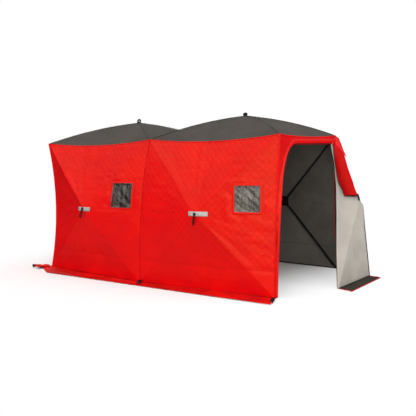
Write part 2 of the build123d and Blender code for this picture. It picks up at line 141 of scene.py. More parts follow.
def long_eave(x_side, y_side):
    return rim(eave(0, y_side), eave(x_side, y_side), EAVE_SAG)


def middle_seam(y_side):
    return rim(foot(0, y_side), eave(0, y_side), -MIDDLE_SEAM_BOW)


# ---- Smooth random folds -------------------------------------------------
LATTICE = np.random.default_rng(11).uniform(-1, 1, (16, 64, 64))


def noise(x, y, sheet=0):
    """Smooth noise from -1 to 1, with features one unit across."""
    x, y = np.asarray(x, float), np.asarray(y, float)
    column, row = np.floor(x).astype(int), np.floor(y).astype(int)
    dx, dy = x - column, y - row
    dx, dy = dx * dx * (3 - 2 * dx), dy * dy * (3 - 2 * dy)
    grid = LATTICE[sheet % 16]

    def at(i, j):
        return grid[(column + i) % 64, (row + j) % 64]

    near = at(0, 0) * (1 - dx) + at(1, 0) * dx
    far = at(0, 1) * (1 - dx) + at(1, 1) * dx
    return near * (1 - dy) + far * dy


def ramp(value, low, high):
    """0 below low, 1 above high, smooth between."""
    t = np.clip((value - low) / (high - low), 0, 1)
    return t * t * (3 - 2 * t)


# ---- Building meshes -----------------------------------------------------
def normals_of(points, faces):
    corners = points[faces[:, :3]]
    face_normals = np.cross(corners[:, 1] - corners[:, 0], corners[:, 2] - corners[:, 0])
    total = np.zeros_like(points)
    for column in faces.T:
        np.add.at(total, column, face_normals)
    length = np.linalg.norm(total, axis=1, keepdims=True)
    return total / np.maximum(length, 1e-12)


def border(faces):
    """Directed edges that only one face uses."""
    sides = faces.shape[1]
    edges = np.concatenate([faces[:, [i, (i + 1) % sides]] for i in range(sides)])
    ordered = np.sort(edges, axis=1)
    _, first, uses = np.unique(ordered, axis=0, return_index=True, return_counts=True)
    return edges[first[uses == 1]]


def shell(points, faces, thickness=0.002, inner=None):
    """A closed sheet: the given skin, a second one behind it and the rim between."""
    if inner is None:
        inner = points - normals_of(points, faces) * thickness
    count = len(points)
    rim_edges = border(faces)
    sides = np.column_stack((rim_edges[:, ::-1], rim_edges + count))
    groups = [faces, faces[:, ::-1] + count, sides]
    tags = np.concatenate([np.full(len(group), tag) for tag, group in enumerate(groups)])
    return np.vstack((points, inner)), [face for group in groups for face in group.tolist()], tags


def mesh_object(name, points, faces):
    mesh = bpy.data.meshes.new(name)
    mesh.from_pydata(np.asarray(points).tolist(), [], faces if isinstance(faces, list) else faces.tolist())
    mesh.update()
    obj = bpy.data.objects.new(name, mesh)
    bpy.context.scene.collection.objects.link(obj)
    return obj


def piece(name, points, faces, finishes, tags=None, node=None, slot=None):
    """A mesh object that rides on the shelter; tags picks each face's finish."""
    obj = mesh_object(name, points, faces)
    for finish in finishes:
        obj.data.materials.append(finish)
    polygons = obj.data.polygons
    if tags is not None:
        polygons.foreach_set("material_index", np.minimum(tags, len(finishes) - 1).astype(np.int32))
    polygons.foreach_set("use_smooth", np.full(len(polygons), True))
    obj.data.update()
    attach(obj, "root")
    if node:
        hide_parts(node)
    return obj


def grid_faces(rows, columns, closed=False):
    """Quads of a grid of points kept row by row; closed joins the last column to the first."""
    i = np.arange(rows - 1)[:, None]
    j = np.arange(columns if closed else columns - 1)[None, :]
    k = (j + 1) % columns
    corners = (i * columns + j, i * columns + k, (i + 1) * columns + k, (i + 1) * columns + j)
    return np.stack(corners, -1).reshape(-1, 4)


def headings(line):
    return unit(np.gradient(line, axis=0))


def tube(line, radius, sides=8, up=UP):
    """Points and faces of a round cord along a line, with closed ends."""
    line = np.asarray(line, float)
    along = headings(line)
    across = np.cross(along, up)
    across[np.linalg.norm(across, axis=1) < 1e-3] = (1, 0, 0)
    across = unit(across)
    over = np.cross(across, along)
    angle = np.linspace(0, 2 * math.pi, sides, endpoint=False)
    radius = np.broadcast_to(radius, len(line))[:, None, None]
    ring = across[:, None] * np.cos(angle)[None, :, None] + over[:, None] * np.sin(angle)[None, :, None]
    points = (line[:, None] + ring * radius).reshape(-1, 3)
    faces = grid_faces(len(line), sides, closed=True).tolist()
    faces += [list(range(sides))[::-1], list(range(len(points) - sides, len(points)))]
    return points, faces


def ribbon(line, out, width, thickness, columns=5, crown=0.0):
    """Points and faces of a flat strip along a line, its face turned to out."""
    line = np.asarray(line, float)
    along = headings(line)
    out = np.broadcast_to(out, line.shape)
    across = unit(np.cross(along, out))
    out = np.cross(across, along)
    place = np.linspace(-1, 1, columns)
    lift = crown * (1 - place**2)
    points = line[:, None] + across[:, None] * (place * width / 2)[None, :, None]
    points = points + out[:, None] * lift[None, :, None]
    faces = grid_faces(len(line), columns)[:, ::-1]
    return shell(points.reshape(-1, 3), faces, thickness)[:2]


def outward_faces(points, faces, out):
    """The faces, turned over if they don't look towards out."""
    corner = points[faces[len(faces) // 2]]
    normal = np.cross(corner[1] - corner[0], corner[2] - corner[0])
    return faces if normal.dot(out) > 0 else faces[:, ::-1]


def grid_sheet(points, rows, columns, out, thickness):
    """Points and faces of a thin sheet over a grid of points, its face turned to out."""
    return shell(points, outward_faces(points, grid_faces(rows, columns), out), thickness)[:2]


def keep_above(points, height=0):
    """Lifts points that are lower than this."""
    points[:, 2] = np.maximum(points[:, 2], height)
    return points


def join(parts):
    """Several (points, faces) as one."""
    points, faces, start = [], [], 0
    for part_points, part_faces in parts:
        points.append(np.asarray(part_points))
        faces += [[corner + start for corner in face] for face in part_faces]
        start += len(part_points)
    return np.vstack(points), faces


def between(a, b, shares):
    """Points at these shares of the way from a to b."""
    return a + (b - a) * np.asarray(shares)[:, None]


def distances_along(line):
    """How far along a line of points each of them is."""
    return np.concatenate(([0], np.cumsum(np.linalg.norm(np.diff(line, axis=0), axis=1))))


def evenly(line, count):
    """Evenly spaced points along a line of points."""
    walked = distances_along(line)
    even = np.linspace(0, walked[-1], count)
    return np.column_stack([np.interp(even, walked, column) for column in line.T])


# ---- Finishes ------------------------------------------------------------
class Tree:
    """A node tree with short calls for adding and joining nodes."""

    def __init__(self, tree):
        self.tree = tree

    def add(self, kind, settings=None, **inputs):
        node = self.tree.nodes.new("ShaderNode" + kind)
        for key, value in (settings or {}).items():
            setattr(node, key, value)
        return self.fill(node, **inputs)

    def fill(self, node, **inputs):
        """Feeds inputs by name, with _ for a space, or by number, as in i0."""
        for key, value in inputs.items():
            self.feed(node.inputs[int(key[1:]) if key[1:].isdigit() else key.replace("_", " ")], value)
        return node

    def feed(self, target, value):
        if isinstance(value, bpy.types.Node):
            value = value.outputs[0]
        if isinstance(value, bpy.types.NodeSocket):
            self.tree.links.new(value, target)
        else:
            target.default_value = value

    def math(self, operation, *values):
        inputs = {f"i{i}": value for i, value in enumerate(values)}
        return self.add("Math", {"operation": operation}, **inputs)

    def product(self, first, *others):
        for other in others:
            first = self.math("MULTIPLY", first, other)
        return first

    def mix(self, amount, a, b, blend="MIX"):
        return self.add("Mix", {"data_type": "RGBA", "blend_type": blend}, i0=amount, i6=a, i7=b).outputs[2]

    def scale(self, value, low, high, to_low=0.0, to_high=1.0, kind="SMOOTHSTEP"):
        settings = {"interpolation_type": kind, "clamp": True}
        limits = {"From_Min": low, "From_Max": high, "To_Min": to_low, "To_Max": to_high}
        return self.add("MapRange", settings, Value=value, **limits).outputs[0]

    def place(self):
        return self.add("TexCoord").outputs["Object"]

    def noise(self, place, scale, detail, **inputs):
        return self.add("TexNoise", Vector=place, Scale=scale, Detail=detail, **inputs)

    def bump(self, height, distance, strength):
        return self.add("Bump", Height=height, Distance=distance, Strength=strength)


FLOAT, COLOUR = "NodeSocketFloat", "NodeSocketColor"


def effect(name, inputs, outputs):
    """An empty node group: its tree, and its input and output nodes."""
    group = bpy.data.node_groups.new(name, "ShaderNodeTree")
    for label, kind in inputs:
        group.interface.new_socket(label, in_out="INPUT", socket_type=kind)
    for label, kind in outputs:
        group.interface.new_socket(label, in_out="OUTPUT", socket_type=kind)
    return group, Tree(group), group.nodes.new("NodeGroupInput").outputs, group.nodes.new("NodeGroupOutput")


def quilting_effect():
    """Stitched diagonals: a mask of painted shade in the stitched seams, and the height of the pads between
    them.
    """
    inputs = [("Along", FLOAT), ("Up", FLOAT), ("Foot", FLOAT), ("Lines", FLOAT)]
    group, tree, given, result = effect("quilting", inputs, [("Seam", FLOAT), ("Pad", FLOAT)])
    along, up = given["Along"], given["Up"]
    seams, pads = [], []
    for operation in ("ADD", "SUBTRACT"):
        away = tree.math("PINGPONG", tree.math("DIVIDE", tree.math(operation, along, up), QUILT_PITCH), 0.5)
        seams.append(tree.scale(away, 0.0, SEAM_SHARE, 1.0, 0.0))
        pads.append(tree.scale(away, 0.0, 0.35))
    above_foot = tree.math("SUBTRACT", up, given["Foot"])
    quilted = tree.scale(above_foot, 0.0, 0.01)
    foot_seam = tree.scale(tree.math("ABSOLUTE", above_foot), 0.002, 0.005, 0.5, 0.0)
    # the stitched lines are painted darkest high up and to the right: partly where the stitches pull deepest,
    # partly painted shade where the light shows the grooves most
    pull_and_light = tree.scale(tree.math("MULTIPLY_ADD", along, 0.4, up), 0.35, 1.35, 0.10, 1.0)
    lines = tree.product(tree.math("MAXIMUM", *seams), quilted, pull_and_light, given["Lines"])
    tree.fill(result, Seam=tree.math("MAXIMUM", lines, foot_seam), Pad=tree.product(*pads, quilted))
    return group


def cloth_effect():
    """Uneven dye, slack folds and a fine weave."""
    outputs = [("Colour", COLOUR), ("Folds", FLOAT), ("Weave", FLOAT), ("Wear", FLOAT)]
    group, tree, given, result = effect("cloth", [("Colour", COLOUR), ("Shade", COLOUR)], outputs)
    place = tree.place()
    dye = tree.scale(tree.noise(place, 3.0, 4.0, Roughness=0.55), 0.35, 0.68)
    stretched = tree.add("Mapping", Vector=place, Scale=(1.0, 1.0, 0.45))
    dyed = tree.mix(dye, given["Shade"], given["Colour"])
    folds = tree.noise(stretched, 16.0, 3.0, Distortion=0.6)
    weave, wear = tree.noise(place, 900.0, 1.0), tree.noise(place, 45.0, 5.0)
    tree.fill(result, Colour=dyed, Folds=folds, Weave=weave, Wear=wear)
    return group


QUILTING, CLOTH_EFFECT = quilting_effect(), cloth_effect()


def blank(name):
    material = bpy.data.materials.new(name)
    material.use_nodes = True
    return material, Tree(material.node_tree), material.node_tree.nodes["Principled BSDF"]


def times(colour, share):
    return (*[channel * share for channel in colour], 1)


def cloth_finish(
    name, colour, shade, roughness, quilt=None, seam_shade=0.70, folds=0.002, gloss=0.5, tint=(1, 1, 1),
    quilt_foot=QUILT_FOOT, lines=1.0,
):
    """Woven cloth; quilt is the axis that runs along the quilted face."""
    material, tree, shader = blank(name)
    woven = tree.add("Group", {"node_tree": CLOTH_EFFECT}, Colour=(*colour, 1), Shade=(*shade, 1)).outputs
    tone = woven["Colour"]
    height = tree.math("MULTIPLY", woven["Folds"], folds * 0.6)
    height = tree.math("MULTIPLY_ADD", woven["Weave"], WEAVE_RELIEF, height)
    if quilt:
        place = tree.add("SeparateXYZ", Vector=tree.place()).outputs
        given = {"Along": place[quilt], "Up": place["Z"], "Foot": quilt_foot, "Lines": lines}
        quilting = tree.add("Group", {"node_tree": QUILTING}, **given).outputs
        # the seam mask darkens the cloth's tone: painted shade in the stitched grooves
        in_seam = tree.mix(1.0, tone, (0.12, 0.08, 0.08, 1), "MULTIPLY")
        tone = tree.mix(tree.math("MULTIPLY", quilting["Seam"], 1 - seam_shade), tone, in_seam)
        height = tree.math("MULTIPLY_ADD", quilting["Pad"], PAD_RELIEF, height)
    wear = tree.scale(woven["Wear"], 0.3, 0.7, roughness - 0.06, roughness + 0.06)
    tree.fill(shader, Base_Color=tone, Roughness=wear, Normal=tree.bump(height, 1.0, 0.8))
    tree.fill(shader, Specular_Tint=(*tint, 1), Specular_IOR_Level=gloss)
    return material


def webbing_finish(name, colour):
    """Woven strap with fine diagonal ribs."""
    material, tree, shader = blank(name)
    bands = {"wave_type": "BANDS", "bands_direction": "DIAGONAL"}
    ribs = tree.add("TexWave", bands, Vector=tree.place(), Scale=220.0, Distortion=1.5)
    tone = tree.mix(tree.scale(ribs, 0.2, 0.8), times(colour, 0.5), (*colour, 1))
    tree.fill(shader, Base_Color=tone, Normal=tree.bump(ribs, 0.0006, 0.6))
    tree.fill(shader, Roughness=0.7, Specular_IOR_Level=0.15)
    return material


def hard_finish(name, colour, roughness, metallic=0.0, grain=300.0):
    """Moulded plastic, coated rod or plated metal with fine handling marks."""
    material, tree, shader = blank(name)
    place = tree.place()
    marks, soft = tree.noise(place, grain, 3.0), tree.noise(place, 12.0, 4.0)
    lighter = [channel * 1.7 + 0.01 for channel in colour]
    tone = tree.mix(tree.scale(soft, 0.4, 0.75), (*colour, 1), (*lighter, 1))
    worn = tree.scale(marks, 0.3, 0.7, roughness - 0.08, roughness + 0.1)
    tree.fill(shader, Base_Color=tone, Roughness=worn, Metallic=metallic)
    tree.fill(shader, Normal=tree.bump(marks, 0.0002, 0.5))
    return material


def vinyl_finish(name, haze, colour, contrast=1.0):
    """Clear soft sheet with crinkles that catch the light; the streaks painted lighter and darker in its
    colour are painted highlights and shade.
    """
    material, tree, shader = blank(name)
    place = tree.place()
    crinkle = tree.noise(place, 26.0, 4.0, Distortion=1.2)
    tall = tree.add("Mapping", Vector=place, Scale=(1.0, 1.0, 0.3))
    highlight_streaks = tree.noise(tall, 16.0, 3.0, Distortion=1.5)
    # pale streaks are painted highlights on the crinkles, dark ones painted shade between them
    dark, pale = times(colour, 1 - 0.55 * contrast), times(colour, 1 + 0.6 * contrast)
    see_through = tree.scale(highlight_streaks, 0.3, 0.7, haze * 0.85, min(1.0, haze * 1.15))
    tree.fill(shader, Alpha=see_through, Base_Color=tree.mix(tree.scale(highlight_streaks, 0.42, 0.62), dark, pale))
    tree.fill(shader, Normal=tree.bump(crinkle, 0.02, 0.7), Roughness=0.12)
    tree.fill(shader, Coat_Weight=0.6, Coat_Roughness=0.05)
    return material


def tape_finish(name):
    """Reflective tape: pale, with a fine embossed net."""
    material, tree, shader = blank(name)
    place = tree.place()
    cells = tree.add("TexVoronoi", {"feature": "DISTANCE_TO_EDGE"}, Vector=place, Scale=180.0)
    scuffs = tree.scale(tree.noise(place, 20.0, 4.0), 0.35, 0.7)
    tone = tree.mix(scuffs, (0.38, 0.365, 0.345, 1), (0.55, 0.53, 0.50, 1))
    net = tree.bump(tree.scale(cells, 0.0, 0.1), 0.0004, 0.5)
    tree.fill(shader, Base_Color=tone, Normal=net, Roughness=0.38)
    return material


RED, DEEP_RED = (0.84, 0.0016, 0.004), (0.76, 0.0012, 0.005)
# INNER is a darker copy of FLAP_INNER, the same lining cloth: painted shade on the lining inside the shelter
INNER, DEEP_INNER = (0.225, 0.202, 0.172), (0.185, 0.166, 0.141)
WARM = (1.0, 0.80, 0.34)  # tint of the shine on the red cloth
SHINE = {"tint": WARM, "gloss": 0.28}
INNER_QUILT = {"seam_shade": 0.3, "lines": 0.05}
wall_cloth_x = cloth_finish("red_wall_cloth", RED, DEEP_RED, 0.34, "X", **SHINE)
wall_cloth_y = cloth_finish("red_end_cloth", RED, DEEP_RED, 0.34, "Y", **SHINE)
# a darker, duller copy of the red cloth: painted shade on the corner turned down over the door flap and along
# the walls' feet; also the red of the darker seams
CORNER, DEEP_CORNER = (0.56, 0.0012, 0.004), (0.46, 0.0010, 0.003)
seam_and_shade_red = cloth_finish("red_seam_and_shade_cloth", CORNER, DEEP_CORNER, 0.5, tint=WARM, gloss=0.1)
plain_red = cloth_finish("red_plain_cloth", RED, DEEP_RED, 0.36, **SHINE)
SKIRT, DEEP_SKIRT = (0.76, 0.003, 0.004), (0.50, 0.002, 0.004)
skirt_red = cloth_finish("red_skirt_cloth", SKIRT, DEEP_SKIRT, 0.45, folds=0.004, **SHINE)
liner_x = cloth_finish("wall_liner", INNER, DEEP_INNER, 0.75, "X", **INNER_QUILT)
inner_y = cloth_finish("end_liner", INNER, DEEP_INNER, 0.75, "Y", **INNER_QUILT)
FLAP_INNER, DEEP_FLAP_INNER = (0.46, 0.42, 0.365), (0.38, 0.345, 0.30)
liner_y = cloth_finish("flap_liner", FLAP_INNER, DEEP_FLAP_INNER, 0.75, "Y", 0.72, quilt_foot=-1.0)
# the flap's lining without quilting, a little paler than FLAP_INNER: unquilted cloth, and painted light on
# the flap's upper front panel
plain_lit_liner = cloth_finish("plain_lit_flap_liner", (0.47, 0.43, 0.375), (0.41, 0.375, 0.327), 0.75)
# a paler copy of the flap's lining for the roll at the fold: painted highlight along the fold
fold_highlight_liner = cloth_finish("flap_liner_fold_highlight", (0.50, 0.46, 0.405), (0.44, 0.405, 0.355), 0.7)
roof_cloth = cloth_finish("roof_cloth", (0.077, 0.065, 0.054), (0.060, 0.051, 0.043), 0.62, gloss=0.2)
roof_liner = cloth_finish("roof_liner", (0.13, 0.12, 0.105), (0.10, 0.093, 0.082), 0.75)
dark_cloth = cloth_finish("dark_underside", (0.027, 0.022, 0.0155), (0.022, 0.018, 0.013), 0.7, gloss=0.25)
webbing = webbing_finish("black_webbing", (0.011, 0.011, 0.012))
zip_tape = webbing_finish("zip_tape", (0.035, 0.020, 0.019))
hub_plastic = hard_finish("black_plastic", (0.014, 0.014, 0.015), 0.45)
rod_black = hard_finish("black_rod", (0.012, 0.012, 0.013), 0.35, grain=80.0)
eyelet_metal = hard_finish("eyelet_metal", (0.16, 0.16, 0.16), 0.35, metallic=1.0)
# one vinyl in two copies: the lighter for painted light on the right-hand windows, the darker for painted
# shade on the left-hand ones
lit_vinyl = vinyl_finish("lit_vinyl", 0.85, (0.125, 0.109, 0.088), 0.45)
lit_edge = vinyl_finish("lit_vinyl_edge", 1.0, (0.115, 0.100, 0.082), 0.45)
shaded_vinyl = vinyl_finish("shaded_vinyl", 0.82, (0.052, 0.042, 0.034))
shaded_edge = vinyl_finish("shaded_vinyl_edge", 1.0, (0.052, 0.042, 0.034))
strip_tape = tape_finish("reflective_tape")


# ---- Wall and roof bays --------------------------------------------------
def ring_grid(steps):
    """A bay as rings round its hub: each point's gore, its place across and out, and the triangles."""
    gores, across, out, faces = [np.zeros(1, int)], [np.zeros(1)], [np.zeros(1)], []

    def at(ring, gore_number, place):
        if ring == 0:
            return np.zeros_like(place)
        return 1 + 2 * ring * (ring - 1) + (gore_number * ring + place) % (4 * ring)

    for ring in range(1, steps + 1):
        places = np.arange(4 * ring)
        gores.append(places // ring)
        across.append((places % ring) / ring)
        out.append(np.full(4 * ring, ring / steps))
        j, k = np.arange(ring), np.arange(ring - 1)
        for side in range(4):
            pointing_in = at(ring, side, j), at(ring, side, j + 1), at(ring - 1, side, j)
            pointing_out = at(ring - 1, side, k), at(ring, side, k + 1), at(ring - 1, side, k + 1)
            faces += [np.column_stack(pointing_in), np.column_stack(pointing_out)]
    return np.concatenate(gores), np.concatenate(across), np.concatenate(out), np.vstack(faces)


class Bay:
    """One square of cloth, pushed out by the hub in its middle."""

    def __init__(self, name, hub, outward, loop, rise=0.0):
        self.name, self.hub, self.outward, self.loop = name, hub, outward, loop
        self.nets = [gore(hub, edge, rise) for edge in loop]
        facets = [unit(np.cross(edge[0] - hub, edge[2] - hub)) for edge in loop]
        self.scale = 1 - CLOTH / np.mean([abs(facet.dot(hub)) for facet in facets])
        upright = abs(outward[2]) < 0.5
        self.right, self.upward = (np.cross(UP, outward), UP) if upright else (point(1, 0, 0), point(0, 1, 0))
        outline = np.vstack([curve(edge, np.linspace(0, 1, 60, endpoint=False)) for edge in loop]) - hub
        flat = np.column_stack((outline @ self.right, outline @ self.upward))
        angle = np.arctan2(flat[:, 1], flat[:, 0])
        order = np.argsort(angle)
        self.angle, self.slope = angle[order], (outline @ outward / np.linalg.norm(flat, axis=1))[order]

    def skin(self, steps):
        gores, across, out, faces = ring_grid(steps)
        points = np.empty((len(gores), 3))
        for number, net in enumerate(self.nets):
            chosen = gores == number
            points[chosen] = surface(net, across[chosen], out[chosen])
        return points, outward_faces(points, faces, self.outward), gores, across, out

    def flat(self, points):
        """Distance to the right of the hub and height above it, seen from outside."""
        step = points - self.hub
        return step @ self.right, step @ self.upward

    def on(self, right, up, lift=0.0):
        """Points of a wall's outer face at these distances from the hub."""
        right, up = np.broadcast_arrays(np.asarray(right, float), np.asarray(up, float))
        slope = np.interp(np.arctan2(up, right), self.angle, self.slope, period=2 * math.pi)
        out = np.hypot(right, up) * slope + lift
        points = self.hub + right[..., None] * self.right + up[..., None] * self.upward
        return points + out[..., None] * self.outward


def bell(value, centre, width):
    return np.exp(-(((value - centre) / width) ** 2))


def quilt_pads(along, height):
    """How far the wadding fills out between the stitched diagonals, from 0 to 1."""
    pads = 1.0
    for turned in (along + height, along - height):
        away = np.abs((turned / QUILT_PITCH + 0.5) % 1 - 0.5)
        pads = pads * ramp(away, -0.05, 0.38)
    return pads


def wall_relief(bay, points, out, seed, window):
    """Folds that both skins follow, and how far the wadding lifts the outer skin off them."""
    right, up = bay.flat(points)
    height = points[:, 2]
    along = points[:, 0] if abs(bay.outward[1]) > 0.5 else points[:, 1]
    angle, reach = np.arctan2(up, right), np.hypot(right, up)
    slack = 0.55 + 0.45 * noise(right * 3 + 5, up * 3, seed) + 0.5 * ramp(up, 0.15, 0.6)
    fullness = 0.15 + 0.85 * ramp(height + 0.4 * along, 0.5, 1.35)
    pads = PAD_HEIGHT * fullness * quilt_pads(along, height) * slack
    pads = pads * ramp(height, QUILT_FOOT, QUILT_FOOT + 0.02)
    relief = 0.0035 * noise(right * 2.3, up * 2.3, seed + 1)
    relief = relief + 0.0022 * noise(angle * 9, reach * 1.5, seed + 2) * ramp(reach, 0.12, 0.3)
    relief = relief + 0.0016 * noise(right * 9, up * 22, seed + 3)
    puckers = 0.8 + 0.5 * noise(right * 28, height * 6, seed + 4)  # along the seam under the quilting
    pads = pads - 0.003 * bell(height, QUILT_FOOT, 0.028) * puckers
    if window:
        beside, over = right - WINDOW_FROM_HUB, up - WINDOW_RAISED
        past_side, past_top = np.abs(beside) - WINDOW_WIDTH / 2, np.abs(over) - WINDOW_HEIGHT / 2
        outside = np.hypot(np.maximum(past_side, 0), np.maximum(past_top, 0))
        pulls = noise(beside * 3.5, over * 17, seed + 5) * 0.009
        pulls = pulls * bell(outside, 0.07, 0.055) * ramp(-beside, -0.02, 0.08)
        relief = relief * ramp(outside, 0.03, 0.07) + pulls * ramp(outside, 0.03, 0.05)
        pads = pads * ramp(outside, 0.03, 0.05)
    if bay.name == "front_left":
        # crumples above the hub, below the top corner
        crumpled = bell(right, 0.33, 0.14) * bell(up, 0.42, 0.07)
        relief = relief + 0.005 * crumpled * noise(right * 22 + up * 14, up * 30 - right * 8, seed + 6)
    flat = ramp(reach, 0.10, 0.22) * ramp(1 - out, 0.0, 0.03)
    return relief * flat, pads * flat


def rounded_ring(width, height, radius, steps):
    """Corners of a rounded rectangle round the origin, in order."""
    ring = []
    for x_side, z_side, start in ((1, 1, 0), (-1, 1, 90), (-1, -1, 180), (1, -1, 270)):
        for step in range(steps):
            turn = math.radians(start + step * 90 / (steps - 1))
            x = x_side * (width / 2 - radius) + radius * math.cos(turn)
            ring.append((x, z_side * (height / 2 - radius) + radius * math.sin(turn)))
    return np.array(ring)


def cut_window(obj, bay):
    """Cuts the rounded window through both skins."""
    corners = rounded_ring(WINDOW_WIDTH, WINDOW_HEIGHT, WINDOW_CORNER, 5)
    centre = bay.hub + bay.right * WINDOW_FROM_HUB + UP * WINDOW_RAISED
    ring = centre + corners[:, :1] * bay.right + corners[:, 1:] * UP
    points = np.vstack((ring + bay.outward * 0.2, ring - bay.outward * 0.5))
    count = len(ring)
    faces = [[count + i, count + (i + 1) % count, (i + 1) % count, i] for i in range(count)]
    faces += [list(range(count)), list(range(count, 2 * count))[::-1]]
    cutter = mesh_object("window_cutter", points, faces)
    modifier = obj.modifiers.new("window", "BOOLEAN")
    modifier.object, modifier.operation, modifier.solver = cutter, "DIFFERENCE", "EXACT"
    graph = bpy.context.evaluated_depsgraph_get()
    cut = bpy.data.meshes.new_from_object(obj.evaluated_get(graph))
    obj.modifiers.remove(modifier)
    obj.data = cut
    bpy.data.objects.remove(cutter)


def wall(bay, seed, finishes, window=True):
    """A quilted wall with its ridge seams, and the tapes and hub patch on its lining."""
    points, faces, gores, across, out = bay.skin(WALL_STEPS)
    relief, pads = wall_relief(bay, points, out, seed, window)
    outer = points + bay.outward * (relief + pads)[:, None]
    inner = points * bay.scale + bay.outward * (relief - pads * 0.8)[:, None]
    on_ground = points[:, 2] < 1e-6
    outer[on_ground, 2], inner[on_ground, 2] = 0, 0
    all_points, all_faces, tags = shell(outer, faces, inner=inner)
    obj = piece(f"{bay.name}_wall_cloth", all_points, all_faces, finishes, tags == 1, f"{bay.name}_wall")
    ridges, tapes = [], []
    for number in range(4):
        ridge = (gores == number) & (across == 0)
        ridges.append(tube(outer[ridge][6:-1] + bay.outward * 0.0004, 0.0016, sides=6))
        tapes.append(ribbon(inner[ridge][2:-1] - bay.outward * 0.0015, -bay.outward, 0.026, 0.001))
    piece(f"{bay.name}_ridge_seams", *join(ridges), finishes[:1])
    piece(f"{bay.name}_inner_tapes", *join(tapes), (webbing,))
    place = np.linspace(-HUB_PATCH / 2, HUB_PATCH / 2, 18)
    side, over = np.meshgrid(place, place)
    patch = bay.on(side.ravel(), over.ravel()) * bay.scale - bay.outward * 0.003
    patch = grid_sheet(patch, 18, 18, -bay.outward, 0.001)
    patch = piece(f"{bay.name}_hub_patch", *patch, (webbing,))
    if window:
        cut_window(obj, bay)


walls, roofs = [], []
middle_edge = rim(eave(0, -1), eave(0, 1), 0)
for x_side, x_name in ENDS:
    hub_x = x_side * FOOT_LENGTH / 4
    for y_side, y_name in SIDES:
        sill = rim(foot(0, y_side), foot(x_side, y_side), 0)
        head = long_eave(x_side, y_side)[::-1]
        loop = (sill, corner_edge(x_side, y_side), head, middle_seam(y_side)[::-1])
        hub = point(hub_x, y_side * (FOOT_DEPTH / 2 + WALL_HUB_PUSH), WALL_HUB_HEIGHT)
        walls.append(Bay(f"{y_name}_{x_name}", hub, point(0, y_side, 0), loop))
    loop = (long_eave(x_side, -1), end_eave(x_side), long_eave(x_side, 1)[::-1], middle_edge[::-1])
    roofs.append(Bay(f"{x_name}_roof", point(hub_x, 0, ROOF_HUB_HEIGHT), UP, loop, ROOF_RISE))
end_sill = rim(foot(-1, -1), foot(-1, 1), 0)
end_loop = (end_sill, corner_edge(-1, 1), end_eave(-1)[::-1], corner_edge(-1, -1)[::-1])
end_hub = point(-FOOT_LENGTH / 2 - WALL_HUB_PUSH, 0, WALL_HUB_HEIGHT)
left_end = Bay("left_end", end_hub, point(-1, 0, 0), end_loop)

for number, bay in enumerate(walls):
    wall(bay, number * 3, (wall_cloth_x, liner_x))
wall(left_end, 13, (wall_cloth_y, inner_y), window=False)


def roof_relief(bay, points, out, seed):
    right, up = bay.flat(points)
    angle, reach = np.arctan2(up, right), np.hypot(right, up)
    relief = 0.004 * noise(right * 2, up * 2, seed)
    relief = relief + 0.003 * noise(angle * 8, reach * 1.2, seed + 1) * ramp(reach, 0.1, 0.35)
    relief = relief + 0.0014 * noise(right * 10, up * 10, seed + 2)
    return relief * ramp(reach, 0.03, 0.2) * ramp(1 - out, 0.0, 0.03)


for number, bay in enumerate(roofs):
    points, faces, _, _, out = bay.skin(ROOF_STEPS)
    outer = points + bay.outward * roof_relief(bay, points, out, 5 + number * 4)[:, None]
    all_points, all_faces, tags = shell(outer, faces, inner=points * bay.scale)
    obj = piece(f"{bay.name}_cloth", all_points, all_faces, (roof_cloth, roof_liner), tags == 1, bay.name)


# ---- Windows -------------------------------------------------------------
def spread(ring, gap=0.012):
    """A closed ring with points added so that none is further than gap from the next."""
    points = []
    for a, b in zip(ring, np.roll(ring, -1, axis=0)):
        count = max(1, int(np.ceil(np.linalg.norm(b - a) / gap)))
        points += [a + (b - a) * i / count for i in range(count)]
    return np.array(points)


def window_pane(bay, seed, finish):
    steps = 40
    x, z = np.meshgrid(np.linspace(-0.5, 0.5, steps), np.linspace(-0.5, 0.5, steps))
    x, z = (x * (WINDOW_WIDTH + 0.01)).ravel(), (z * (WINDOW_HEIGHT + 0.01)).ravel()
    crinkle = 0.004 * noise(x * 9 + z * 12, z * 5 - x * 3, seed)
    crinkle = crinkle + 0.003 * noise(x * 30 + z * 30, z * 9, seed + 1)
    crinkle = crinkle + 0.0025 * noise(x * 20 - 3, z * 22, seed + 2)
    border_near = np.minimum(WINDOW_WIDTH / 2 - np.abs(x), WINDOW_HEIGHT / 2 - np.abs(z))
    lift = -CLOTH / 2 + crinkle * ramp(border_near, -0.002, 0.02)
    points = bay.on(x + WINDOW_FROM_HUB, z + WINDOW_RAISED, lift)
    sheet = grid_sheet(points, steps, steps, bay.outward, 0.0006)
    pane = piece(f"{bay.name}_window_pane", *sheet, (finish,), node=f"{bay.name}_window")


def window_frame(bay, name, side, lift, finishes, edge_bands):
    """The sewn border; its innermost bands are the pane's welded edge."""
    ring = spread(rounded_ring(WINDOW_WIDTH - 0.006, WINDOW_HEIGHT - 0.006, WINDOW_CORNER, 6))
    rows = []
    for step, proud in ((0.0, 0.0), (0.15, 1.0), (0.45, 0.75), (0.8, 0.9), (1.0, -0.5)):
        grown = ring * (1 + 2 * FRAME_BORDER * step / WINDOW_WIDTH)
        height = lift + side * (0.0014 * proud)
        rows.append(bay.on(grown[:, 0] + WINDOW_FROM_HUB, grown[:, 1] + WINDOW_RAISED, height))
    points = np.vstack(rows)
    faces = outward_faces(points, grid_faces(len(rows), len(ring), closed=True), bay.outward * side)
    points, faces, _ = shell(points, faces, 0.0015)
    in_edge = np.arange(len(faces)) < edge_bands * len(ring)
    obj = piece(f"{bay.name}_window_{name}", points, faces, finishes, in_edge)


